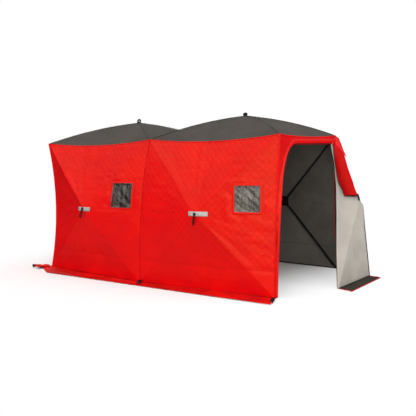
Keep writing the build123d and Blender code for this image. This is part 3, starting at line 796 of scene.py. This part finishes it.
for number, bay in enumerate(walls):
    # right-hand windows take the lighter vinyl (painted light), left-hand ones the darker (painted shade)
    vinyl, edge, edge_bands = (lit_vinyl, lit_edge, 1) if bay.hub[0] > 0 else (shaded_vinyl, shaded_edge, 2)
    window_pane(bay, number * 3, vinyl)
    window_frame(bay, "frame", 1, 0.0025, (plain_red, edge), edge_bands)
    window_frame(bay, "inner_frame", -1, -CLOTH - 0.0015, (liner_x, edge), 0)


# ---- Hub straps: reflective strip, knob and pull loop ----------------------
def turned(bay, profile, turns):
    """Points and faces of a knob on a hub: the radius and height of each of its rings."""
    angle = np.linspace(0, 2 * math.pi, turns, endpoint=False)[:, None]
    ring = bay.right * np.cos(angle) + bay.upward * np.sin(angle)
    points = np.vstack([bay.hub + ring * radius + bay.outward * lift for radius, lift in profile])
    faces = grid_faces(len(profile), turns, closed=True).tolist() + [list(range(turns))[::-1]]
    return points, faces + [list(range(len(points) - turns, len(points)))]


PULL_KNOB = (
    (0.0165, 0.004), (0.0165, 0.009), (0.0145, 0.0125), (0.0085, 0.0145), (0.008, 0.0165), (0.0001, 0.017),
)


def hub_strap(bay, seed, strip_start, strip_end, raised, lean):
    right = np.linspace(strip_start, strip_end, 24)
    lines = []
    for up in np.array((-1, -0.5, 0, 0.5, 1)) * STRIP_WIDTH / 2:
        bow = 0.0012 * (1 - (up / (STRIP_WIDTH / 2)) ** 2)
        over_knob = 0.002 * ramp(0.03 - np.hypot(right, up + raised), 0, 0.03)
        lines.append(bay.on(right, np.full_like(right, up + raised), 0.0045 + bow + over_knob))
    sheet = grid_sheet(np.vstack(lines), len(lines), len(right), bay.outward, 0.0015)
    strip = piece(f"{bay.name}_strip", *sheet, (strip_tape,))

    t = np.linspace(0, 1, 40)[:, None]
    swing, away = np.sin(2 * math.pi * t), np.sin(math.pi * t)
    sideways = swing * 0.009 - lean * away + 0.004 * noise(t * 3, seed * 7.3, 3)
    down = PULL_LENGTH * (1 - np.abs(2 * t - 1) ** 1.6)
    out = 0.015 + 0.011 * away**0.8 * 0.4
    loop = bay.hub + bay.right * sideways - bay.upward * down + bay.outward * out
    strap = ribbon(loop, unit(bay.right * 0.5 + bay.outward), 0.010, 0.003, columns=3)
    knob = turned(bay, PULL_KNOB, 20)
    piece(f"{bay.name}_pull_loop", *join((knob, strap)), (webbing,), node=f"{bay.name}_pull")


for number, bay in enumerate(walls + [left_end]):
    on_left = bay in (walls[0], walls[1])
    hub_strap(bay, number, *((-0.114, 0.117, -0.008, 0.032) if on_left else (-0.092, 0.150, 0.004, 0.010)))


def roof_cap(bay, loop_height, loop_radius, height):
    rings = ((0.034, -0.001), (0.033, 0.002), (0.022, 0.003), (0.0215, height - 0.004), (0.016, height))
    knob = turned(bay, rings + ((0.0005, height + 0.001),), 24)
    turn = math.pi * np.linspace(-1, 1, 36)
    rise = height - 0.006 + loop_height / 2 * (1 + np.cos(turn))
    loop = bay.hub + np.column_stack((loop_radius * np.sin(turn), 0.004 * np.cos(turn), rise))
    strap = tube(loop, 0.011, up=point(0, 1, 0))
    piece(f"{bay.name}_cap_loop", *join((knob, strap)), (webbing,), node=f"{bay.name}_cap")


roof_cap(roofs[0], 0.040, 0.023, 0.010)
roof_cap(roofs[1], 0.020, 0.022, 0.016)


# ---- Seams and piping ----------------------------------------------------
def piping(name, line, radius, finish, slot=None, **form):
    return piece(name, *tube(line, radius, **form), (finish,), slot=slot)


fine = np.linspace(0, 1, 60)
for y_side, y_name in SIDES:
    seam = curve(middle_seam(y_side), fine) + point(0, y_side * 0.0005, 0)
    seam[0, 2] = max(seam[0, 2], 0.004)
    piping(f"{y_name}_middle_seam", seam, 0.003, seam_and_shade_red)
    for x_side, x_name in ENDS:
        # the seam along each wall's foot is in the darker red: painted shade in the crease where the wall
        # meets the skirt
        foot_line = between(foot(0, y_side), foot(x_side, y_side), fine) + point(0, y_side * 0.002, 0.012)
        piping(f"{y_name}_{x_name}_foot_seam", foot_line, 0.006, seam_and_shade_red)
        eave_line = curve(long_eave(x_side, y_side), fine) + point(0, 0, 0.001)
        piping(f"{y_name}_{x_name}_eave_seam", eave_line, PIPING, plain_red)
        corner_line = curve(corner_edge(x_side, y_side), fine)
        corner_line[0, 2] = 0.006
        at_door_hinge = x_side == 1 and y_side == 1
        finish = zip_tape if at_door_hinge else plain_red
        piping(f"{y_name}_{x_name}_corner_seam", corner_line, PIPING, finish)
for x_side, x_name in ENDS:
    piping(f"{x_name}_end_eave_seam", curve(end_eave(x_side), fine), PIPING, plain_red)
for y_side, y_name in SIDES:
    feet = np.array([foot(-1, y_side), foot(0, y_side), foot(1, y_side)]) * (0.994, 0.988, 1) + UP * 0.008
    inner_foot = np.column_stack([np.interp(np.linspace(0, 2, 61), (0, 1, 2), column) for column in feet.T])
    piping(f"{y_name}_inner_hem", inner_foot, 0.0065, webbing)
piping("roof_valley_seam", curve(middle_edge, fine), 0.004, roof_cloth)

tapes = []
for bay in roofs:
    for edge in (bay.loop[0], bay.loop[2]):
        for corner in (edge[0], edge[-1]):
            ridge = curve(rim(bay.hub, corner, -ROOF_RISE), np.linspace(0.02, 0.99, 60)) + UP * 0.002
            tapes.append(ribbon(ridge, UP, 0.018, 0.001, crown=0.0008))
piece("roof_ridge_tapes", *join(tapes), (roof_cloth,))

# ---- Door wall -----------------------------------------------------------
front_edge, rear_edge = corner_edge(1, -1), corner_edge(1, 1)
head_edge, sill_edge = end_eave(1), rim(foot(1, -1), foot(1, 1), 0)
belly = (front_edge[1] + rear_edge[1] + sill_edge[1] + head_edge[1]) / 4
door_net = np.array((sill_edge, (front_edge[1], belly, rear_edge[1]), head_edge))


def door_face(y, z):
    """Points of the door wall's outer face at these Y and Z."""
    y, z = np.asarray(y, float), np.asarray(z, float)
    across, up = y / FOOT_DEPTH + 0.5, z / EAVE_HEIGHT
    for _ in range(8):
        here = surface(door_net, across, up)
        step = 1e-4
        by_across = (surface(door_net, across + step, up) - here) / step
        by_up = (surface(door_net, across, up + step) - here) / step
        miss_y, miss_z = y - here[:, 1], z - here[:, 2]
        size = by_across[:, 1] * by_up[:, 2] - by_up[:, 1] * by_across[:, 2]
        across = across + (miss_y * by_up[:, 2] - by_up[:, 1] * miss_z) / size
        up = up + (by_across[:, 1] * miss_z - miss_y * by_across[:, 2]) / size
    return surface(door_net, across, up)


def arch_line(steps=160):
    """Y and Z of the opening's edge, from the front foot over the top to the rear corner."""
    third = steps // 3
    jamb = np.linspace((DOOR_FOOT, 0), DOOR_SHOULDER, third, endpoint=False)
    round_part = curve((DOOR_SHOULDER, DOOR_ARCH, DOOR_HEAD), np.linspace(0, 1, third, endpoint=False))
    slope = (DOOR_HEAD_REAR - DOOR_HEAD[1]) / (FOOT_DEPTH - DOOR_HEAD[0])
    rear_z = DOOR_HEAD[1] + slope * (DOOR_REAR - DOOR_HEAD[0])
    head = np.linspace(DOOR_HEAD, (DOOR_REAR, rear_z), steps - 2 * third)
    return np.vstack((jamb, round_part, head)), third


def door_surround():
    """The cloth round the opening; gives back the opening's edge."""
    inner, third = arch_line()
    outer = np.empty_like(inner)
    jamb, arch, head_part = slice(third), slice(third, 2 * third), slice(2 * third, None)
    sample = np.linspace(0, 1, 400)
    front, head = curve(front_edge, sample), curve(head_edge, sample)
    outer[jamb, 1] = inner[jamb, 1]
    outer[jamb, 0] = np.interp(inner[jamb, 1], front[:, 2], front[:, 1])
    corner_path = np.vstack((front[front[:, 2] > DOOR_SHOULDER[1]], head[head[:, 1] < DOOR_HEAD[0]]))[:, 1:]
    outer[arch] = evenly(corner_path, third)
    outer[head_part, 0] = inner[head_part, 0]
    outer[head_part, 1] = np.interp(inner[head_part, 0], head[:, 1], head[:, 2])
    shares = np.linspace(0, 1, 15)
    points = np.vstack([door_face(*(outer + (inner - outer) * share).T) for share in shares])
    share = np.repeat(shares, len(inner))
    from_opening = (1 - share) * np.tile(np.linalg.norm(outer - inner, axis=1), len(shares))
    y, z = points[:, 1], points[:, 2]
    relief = 0.003 * noise(y * 6, z * 5, 2) + 0.0016 * noise(y * 22, z * 14, 3)
    relief = relief * ramp(share, 0.0, 0.2) * ramp(1 - share, 0, 0.1)
    relief = relief - 0.0016 * bell(from_opening, HEM_WIDTH, 0.004)
    relief = relief + 0.0015 * ramp(HEM_WIDTH - from_opening, 0, 0.006)
    relief = relief + 0.009 * bell(from_opening, 0.048, 0.018)
    faces = outward_faces(points, grid_faces(len(shares), len(inner)), AHEAD)
    outer_skin, inner_skin = points + AHEAD * relief[:, None], points * (1 - 2 * CLOTH / FOOT_LENGTH)
    points, faces, tags = shell(outer_skin, faces, inner=inner_skin)
    obj = piece("door_surround_cloth", points, faces, (plain_red, liner_y), tags == 1, "door_surround")
    return inner


arch = door_surround()


def along_arch(inset, lift):
    """A line on the door wall at this distance outside the opening's edge."""
    along = headings(arch)
    away = np.column_stack((-along[:, 1], along[:, 0]))
    line = arch + away * inset
    line[:, 1] = np.maximum(line[:, 1], 0.004)
    return door_face(line[:, 0], line[:, 1]) + AHEAD * lift


piece("door_zip", *ribbon(along_arch(0.004, 0.0025), AHEAD, 0.012, 0.003, crown=0.001), (zip_tape,))
binding = ribbon(along_arch(0.032, 0.006), AHEAD, 0.050, 0.002, columns=9, crown=0.010)
piece("door_binding", *binding, (plain_red,))
piping("door_binding_seam", along_arch(0.062, 0.003), 0.0028, seam_and_shade_red, sides=6)
for number, inset in enumerate((0.070, 0.078)):
    stitching = along_arch(inset, 0.0018)
    piping(f"door_stitching_{number + 1}", stitching, 0.0012, skirt_red, "red_quilted_cloth", sides=5)


# ---- Folded door flap ------------------------------------------------------
def triangle_grid(a, b, c, steps):
    """Points and triangles of a triangle cut into rows from a to the side b-c."""
    rows, faces, start = [], [], 0
    for row in range(steps + 1):
        share = row / steps
        left, right = a + (b - a) * share, a + (c - a) * share
        rows.append(between(left, right, np.linspace(0, 1, row + 1)))
        for j in range(row):
            faces.append((start + j, start + j + 1, start - row + j))
            if j < row - 1:
                faces.append((start - row + j, start + j + 1, start - row + j + 1))
        start += row + 1
    return np.vstack(rows), np.array(faces)


def from_line(points, a, b):
    """Distance of points from the line a-b."""
    along = unit(b - a)
    step = points - a
    return np.linalg.norm(step - (step @ along)[:, None] * along, axis=1)


def flap_panel(corners, steps, seed, quilted):
    """Points, triangles and normal of one flat part of the flap, with its folds and pads."""
    a, b, c = corners
    points, faces = triangle_grid(a, b, c, steps)
    normal = unit(np.cross(b - a, c - a))
    normal = normal if normal[0] > 0 else -normal
    y, z = points[:, 1], points[:, 2]
    relief = FLAP_SLACK * (noise(y * 4, z * 3, seed) + 0.5 * noise(y * 12, z * 9, seed + 1))
    if quilted:
        relief = relief + 0.0028 * quilt_pads(y, z)
    near = np.minimum(np.minimum(from_line(points, a, b), from_line(points, b, c)), from_line(points, c, a))
    faces = outward_faces(points, faces, OUT)
    return points + normal * (relief * ramp(near, 0, 0.04))[:, None], faces, normal


def fold_bow(points):
    """How far the fold and the cloth beside it stand off a straight line."""
    bow = np.interp(points[:, 2], (0, 0.4, 0.8, 1.15, 1.4, 1.658), (0, 0.008, 0.030, 0.042, 0.034, 0))
    near_fold = np.clip(1 - from_line(points, FOLD_FOOT, FOLD_TOP) / 0.5, 0, 1)
    return point(0.83, 0.56, 0) * (bow * near_fold)[:, None]


def free_bulge(points):
    """How far the flap's free edge stands beyond the straight line up to the tie."""
    heights = (0, 0.40, 0.65, 0.85, 0.90, 0.94, 0.985)
    bulge = np.interp(points[:, 2], heights, (0, 0.037, 0.060, 0.088, 0.085, 0.035, 0))
    return unit(FLAP_FOOT - FOLD_FOOT) * bulge[:, None]


def hinge_curve(points):
    """The step from the straight line between the hinge's ends to the rear corner, near the hinge."""
    place = (points - HINGE_FOOT) @ unit(HINGE_TOP - HINGE_FOOT) / np.linalg.norm(HINGE_TOP - HINGE_FOOT)
    drawn = curve(rear_edge, place) - rear_edge[0] - (rear_edge[2] - rear_edge[0]) * place[:, None]
    near_hinge = np.clip(1 - from_line(points, HINGE_FOOT, HINGE_TOP) / 0.25, 0, 1)
    return drawn * near_hinge[:, None]


def door_flap():
    """Two panels hinged on the rear corner, a roll at the fold and two panels before them."""
    panels = (
        ("back_lower", (FOLD_FOOT, HINGE_FOOT, HINGE_TOP), 40),
        ("back_upper", (HINGE_TOP, FOLD_TOP, FOLD_FOOT), 40),
        ("front_upper", (FOLD_FOOT, FLAP_TIE, FOLD_TOP), 60),
        ("front_lower", (FOLD_FOOT, FLAP_FOOT, FLAP_TIE), 60),
    )
    parts, tag_list = [], []
    for number, (label, corners, steps) in enumerate(panels):
        points, faces, normal = flap_panel(corners, steps, number + 2, label == "front_lower")
        if label == "back_lower":
            points = points + hinge_curve(points)
        if label == "front_lower":
            from_crease = from_line(points, FOLD_FOOT, FLAP_TIE)
            share = from_crease / (from_crease + from_line(points, FLAP_FOOT, FLAP_TIE) + 1e-9)
            points = points + free_bulge(points) * share[:, None] ** 2
        points = keep_above(points + fold_bow(points))
        points, faces, tags = shell(points + normal * 0.004, faces, inner=points - normal * 0.003)
        parts.append((points, faces))
        # the upper front panel takes the plain, paler lining: unquilted, and painted light on that facet
        pale = 2 if label == "front_upper" else 0
        in_front = label.startswith("front")
        tag_list.append(np.where(tags == 1, 1, pale) if in_front else 1 - np.minimum(tags, 1))
    # the roll at the fold takes the palest lining: painted highlight along the fold edge
    roll = between(FOLD_FOOT, FOLD_TOP, np.linspace(0, 1, 50))
    parts.append(tube(roll + fold_bow(roll), 0.0095, sides=10))
    tag_list.append(np.full(len(parts[-1][1]), 3))
    points, faces = join(parts)
    finishes, tags = (liner_y, plain_red, plain_lit_liner, fold_highlight_liner), np.concatenate(tag_list)
    flap = piece("door_flap_cloth", keep_above(points), faces, finishes, tags, "door_flap")


HINGE_TOP, HINGE_FOOT = rear_edge[2] + AHEAD * 0.005, rear_edge[0] + AHEAD * 0.005
door_flap()

free_edge = between(FLAP_FOOT, FLAP_TIE, fine)
free_edge = free_edge + free_bulge(free_edge)
piping("door_flap_edge_binding", free_edge + unit(FLAP_FOOT - FOLD_FOOT) * 0.010, 0.0035, seam_and_shade_red)
piece("door_flap_zip", *ribbon(free_edge + point(0.004, 0.004, 0), OUT, 0.016, 0.004, columns=4), (zip_tape,))

# the corner turned down over the flap, between a left and a right edge from the top; it is in the darker,
# duller red: painted shade on that corner
off_flap = unit(np.cross(FLAP_TIE - FOLD_FOOT, FOLD_TOP - FOLD_FOOT))
off_flap = off_flap if off_flap[0] > 0 else -off_flap
left_edge = (
    (1.780, 0.686, 1.657), (1.822, 0.605, 1.501), (1.885, 0.517, 1.321), (1.938, 0.452, 1.183),
    (1.973, 0.434, 1.131), (2.015, 0.418, 1.079), (2.035, 0.389, 1.020),
)
right_edge = (
    (1.790, 0.700, 1.670), (1.930, 0.673, 1.536), (1.948, 0.651, 1.490), (2.017, 0.585, 1.339),
    (2.093, 0.527, 1.198), (2.148, 0.475, 1.078), (2.190, 0.455, 1.020),
)


def eased(line, count):
    """Evenly spaced points along a line through these points, its corners eased."""
    line = evenly(np.asarray(line), count)
    for _ in range(6):
        line[1:-1] = (line[:-2] + line[1:-1] * 2 + line[2:]) / 4
    return line


def turned_corner(rows, columns):
    left, right = eased(left_edge, columns), eased(right_edge, columns)
    share = np.repeat(np.linspace(0, 1, rows), columns)
    points = np.tile(left, (rows, 1)) + np.tile(right - left, (rows, 1)) * share[:, None]
    y, z = points[:, 1], points[:, 2]
    relief = 0.006 * noise(y * 7, z * 4, 8) + 0.003 * noise(y * 20, z * 12, 9)
    belly = 0.03 * share * (1 - share) * 4 * ramp(1.66 - z, 0, 0.3)
    points = points + off_flap * (belly + relief * ramp(share, 0, 0.1) * ramp(1 - share, 0, 0.1))[:, None]
    sheet = grid_sheet(points, rows, columns, off_flap, 0.006)
    corner = piece("door_flap_corner_cloth", *sheet, (seam_and_shade_red,), node="door_flap_corner")
    return eased(np.vstack((left, np.linspace(left[-1], right[-1], 12)[1:])), 70)


corner_zip = turned_corner(28, 44)
fold_line = between(FOLD_FOOT, FOLD_TOP, np.linspace(0.01, 0.97, 40)) + point(-0.009, -0.004, 0)
piping("door_fold_zip", fold_line + fold_bow(fold_line), 0.0035, zip_tape)
hem_line = between(FOLD_FOOT, FLAP_FOOT, np.linspace(0.01, 0.99, 20)) + point(0.008, -0.004, 0.008)
piping("door_flap_hem", hem_line, 0.005, dark_cloth)
corner_tape = ribbon(corner_zip + off_flap * 0.0026, off_flap, 0.010, 0.004, columns=4)
piece("door_corner_zip", *corner_tape, (zip_tape,))

# the fold beside the rear corner's top, from its upper edge down to its lower one
top_left, top_right = point(1.756, 0.835, 1.766), point(1.747, 0.970, 1.742)
low_right, low_left = point(1.915, 0.800, 1.490), point(1.815, 0.660, 1.610)
up_and_out = point(0.8, -0.1, 0.57)
across, down = (grid.ravel()[:, None] for grid in np.meshgrid(np.linspace(0, 1, 16), np.linspace(0, 1, 30)))
points = (top_left * (1 - across) + top_right * across) * (1 - down)
points = points + (low_left * (1 - across) + low_right * across) * down
relief = 0.016 * 4 * across * (1 - across) + 0.005 * noise(across * 2.5, down * 6, 6)
points = points + up_and_out * relief * ramp(down, -0.2, 0.3)
top_fold = piece("door_flap_top_fold", *grid_sheet(points, 30, 16, up_and_out, 0.005), (plain_red,))

tie_line = (2.178, 0.445, 1.040), (2.190, 0.452, 1.010), (2.197, 0.458, 0.980), (2.194, 0.455, 0.945)
tie_line = eased(tie_line, 20)
tie = ribbon(tie_line + off_flap * 0.014, point(0.6, -0.8, 0.2), 0.020, 0.003, columns=3)
piece("door_tie_strap", *tie, (webbing,), node="door_tie")


# ---- Skirts on the ground --------------------------------------------------
def skirt(name, edges, finish, seed, columns=140, rows=22, curl=0.018):
    """Cloth lying on the ground between two edges, in long low folds; gives back its grid too."""
    t = np.linspace(0, 1, columns)
    inner, outer = (evenly(np.asarray(edge, float), columns) for edge in edges)
    shares = np.linspace(0, 1, rows)
    flat = [np.column_stack((inner + (outer - inner) * share, np.zeros(columns))) for share in shares]
    points, share, place = np.vstack(flat), np.repeat(shares, columns), np.tile(t, rows)
    width = np.tile(np.linalg.norm(outer - inner, axis=1), rows) * share
    long_folds = 0.5 + 0.5 * noise(width * 26 + 0.6 * noise(place * 6, share, seed), place * 5, seed + 1)
    height = curl * long_folds**1.5 + 0.004 * (0.5 + 0.5 * noise(place * 60, share * 4, seed + 2))
    points[:, 2] = height * ramp(share, -0.3, 0.35) * (0.35 + 0.65 * ramp(1 - share, 0, 0.25)) + 0.003
    both, faces = grid_sheet(points, rows, columns, UP, 0.0015)
    obj = piece(f"{name}_cloth", keep_above(both), faces, (finish,), node=name)
    return obj, points.reshape(rows, columns, 3)


half, side = FOOT_LENGTH / 2, FOOT_DEPTH / 2
for y_side, y_name in SIDES:
    near = side + 0.001
    inner_line = [(-half, y_side * near), (0, y_side * (near + MIDDLE_FOOT_OUT)), (half, y_side * near)]
    outer_line = [
        (-half - SKIRT_REACH / 7, y_side * (side + SKIRT_REACH / 2)),
        (-half + SKIRT_REACH, y_side * (side + SKIRT_REACH * 1.2)),
        (0, y_side * (side + MIDDLE_FOOT_OUT + MIDDLE_SKIRT_REACH)),
        (half + SKIRT_REACH / 3, y_side * (side + SKIRT_REACH)),
    ]
    obj, grid = skirt(f"{y_name}_skirt", (inner_line, outer_line), skirt_red, 3)
    piping(f"{y_name}_skirt_hem", keep_above(grid[-1], 0.004), 0.0035, skirt_red)
end_edges = [[(-half - out, -side), (-half - out, side)] for out in (0.001, END_SKIRT_REACH)]
obj, _ = skirt("left_end_skirt", end_edges, skirt_red, 8, rows=12, curl=0.006)
inner_line = [FOLD_FOOT[:2] + (0.0106, 0), FLAP_FOOT[:2] + (0.0046, 0)]
outer_line = [FLAP_SKIRT_FRONT[:2], FLAP_SKIRT_REAR[:2]]
obj, grid = skirt("door_flap_skirt", (inner_line, outer_line), dark_cloth, 5, columns=60, rows=16, curl=0.004)
edge = keep_above(np.vstack((grid[:, 0], grid[-1, 1:-1], grid[::-1, -1])), 0.005)
piping("door_flap_skirt_binding", edge, 0.004, plain_red, "red_skirt_cloth")

# ---- Anchor tabs and gathered skirt ends -----------------------------------
tabs, eyelets, gathered, knots = [], [], [], []
for x_side in (-1, 0, 1):
    for y_side in (-1, 1):
        t = np.linspace(0, 1, 24)[:, None]
        if x_side:
            heading = unit(point(x_side * 0.3, y_side, 0))
            line = foot(x_side, y_side) + heading * (0.060 + 0.160 * t)
            line = line + UP * (0.020 + 0.004 * np.sin(t * 9 + x_side) - 0.012 * t)
        else:
            rest = 0.02 + 0.06 * t, y_side * (0.028 + 0.110 * t), 0.040 - 0.016 * t
            line = foot(0, y_side) + np.hstack(rest)
        tabs.append(ribbon(line, UP, 0.042, 0.002, crown=0.001))
        turn = np.linspace(0, 2 * math.pi, 25)
        ring = line[-4] + UP * 0.0025 + np.column_stack((np.cos(turn), np.sin(turn), 0 * turn)) * 0.010
        eyelets.append(tube(ring, 0.0025))
for y_side in (-1, 1):
    t = np.linspace(0, 1, 30)
    away = y_side * (0.995 + 0.115 * t + 0.012 * np.sin(t * 7))
    gather = np.column_stack((-1.745 - 0.205 * t, away, 0.028 + 0.004 * np.sin(t * 9)))
    thick = 0.018 + 0.006 * np.sin(t * 8) ** 2
    gathered.append(tube(gather[:27], thick[:27], sides=10))
    knots.append(tube(gather[26:], thick[26:] - 0.003, sides=10))
piece("anchor_tab_straps", *join(tabs), (webbing,), node="anchor_tabs")
piece("anchor_tab_eyelets", *join(eyelets), (eyelet_metal,))
piece("skirt_gathered_ends", *join(gathered), (skirt_red,))
piece("skirt_end_knots", *join(knots), (webbing,))

# ---- Rods and hubs keep their own shapes ------------------------------------
for bay in walls + [left_end] + roofs:
    for suffix, finish in (("hub", hub_plastic), ("rods", rod_black)):
        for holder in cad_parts[f"{bay.name}_{suffix}"].material_slots:
            holder.link = "OBJECT"
            holder.material = finish

# ---- Studio ----------------------------------------------------------------
reach, under = 30, -0.004
floor = mesh_object(
    "studio_floor",
    [(-reach, -reach, under), (reach, -reach, under), (reach, reach, under), (-reach, reach, under)],
    [[0, 1, 2, 3]],
)
floor_material, tree, shader = blank("studio_floor")


def camera_rays(tree):
    """1 for rays from the camera, also through clear sheet, and 0 for light that bounces."""
    seen = tree.add("LightPath").outputs
    return tree.math("MAXIMUM", seen["Is Camera Ray"], seen["Is Transmission Ray"]), seen


direct, seen = camera_rays(tree)
matt = tree.math("SUBTRACT", 1.0, seen["Is Glossy Ray"])
dim = tree.product(tree.scale(direct, 0.0, 1.0, FLOOR_BOUNCE, 1.0, kind="LINEAR"), matt)
tree.fill(shader, Base_Color=dim, Roughness=0.9, Specular_IOR_Level=0.0)
# away from the shelter the floor turns into plain white
place = tree.add("SeparateXYZ", Vector=tree.place()).outputs
past_door = tree.math("SUBTRACT", place["X"], 1.0)
past_left = tree.math("SUBTRACT", tree.math("MULTIPLY", place["X"], -1.0), 1.75)
beyond_x = tree.math("MAXIMUM", tree.math("MAXIMUM", past_door, past_left), 0.0)
beyond_y = tree.math("MAXIMUM", tree.math("SUBTRACT", tree.math("ABSOLUTE", place["Y"]), 1.0), 0.0)
squares = tree.math("ADD", tree.math("POWER", beyond_x, 2.0), tree.math("POWER", beyond_y, 2.0))
share = tree.product(tree.scale(tree.math("SQRT", squares), 0.0, 1.6), direct)
blend = tree.add("MixShader", i0=share, i1=shader.outputs[0], i2=tree.add("Emission"))
output = next(node for node in floor_material.node_tree.nodes if node.type == "OUTPUT_MATERIAL")
tree.fill(output, Surface=blend)
floor.data.materials.append(floor_material)

world = bpy.data.worlds.new("studio")
bpy.context.scene.world = world
world.use_nodes = True
tree = Tree(world.node_tree)
direct, _ = camera_rays(tree)
way = tree.add("TexCoord").outputs["Generated"]
overhead = tree.scale(tree.add("SeparateXYZ", Vector=way).outputs["Z"], 0.0, 0.8, 0.0, 0.69)
towards_box = tree.add("VectorMath", {"operation": "DOT_PRODUCT"}, i0=way, i1=(0.15, -0.66, 0.736))
soft_box = tree.scale(towards_box.outputs["Value"], 0.58, 0.85, 0.0, 1.15)
lit = tree.product(tree.math("SUBTRACT", 1.0, direct), tree.math("ADD", overhead, soft_box))
tree.fill(world.node_tree.nodes["Background"], Strength=tree.math("ADD", direct, lit), Color=(1, 1, 1, 1))


def lamp(name, energy, location, aim):
    """A square soft lamp; aim points back from what it lights."""
    light = bpy.data.lights.new(name, "AREA")
    light.energy, light.size = energy, 2.4
    obj = bpy.data.objects.new(name, light)
    bpy.context.scene.collection.objects.link(obj)
    obj.location = location
    obj.rotation_mode = "QUATERNION"
    obj.rotation_quaternion = Vector(aim).to_track_quat("Z", "Y")


lamp("key", 34, (5.2, -4.4, 2.4), (4.3, -3.5, 1.6))
lamp("front_fill", 40, (2.5, -6.8, 1.4), (1.6, -5.7, 0.6))
lamp("door_fill", 44, (5.0, 0.5, 1.6), (3.2, 0.4, 0.7))

# ---- Camera ------------------------------------------------------------------
YAW, PITCH, ROLL = (math.radians(angle) for angle in (33.95, 4.94, -0.82))
ahead = Vector((-math.sin(YAW) * math.cos(PITCH), math.cos(YAW) * math.cos(PITCH), -math.sin(PITCH)))
level = Vector((math.cos(YAW), math.sin(YAW), 0))
above = level.cross(ahead)
right = level * math.cos(ROLL) + above * math.sin(ROLL)
top = above * math.cos(ROLL) - level * math.sin(ROLL)
camera = bpy.data.objects.new("camera", bpy.data.cameras.new("camera"))
camera.data.sensor_width, camera.data.lens = 36.0, 47.59
turn = Matrix((right, top, -ahead)).transposed().to_4x4()
camera.matrix_world = Matrix.Translation((4.394, -6.091, 1.475)) @ turn
bpy.context.scene.collection.objects.link(camera)
bpy.context.scene.camera = camera
bpy.context.scene.view_settings.view_transform = "Standard"
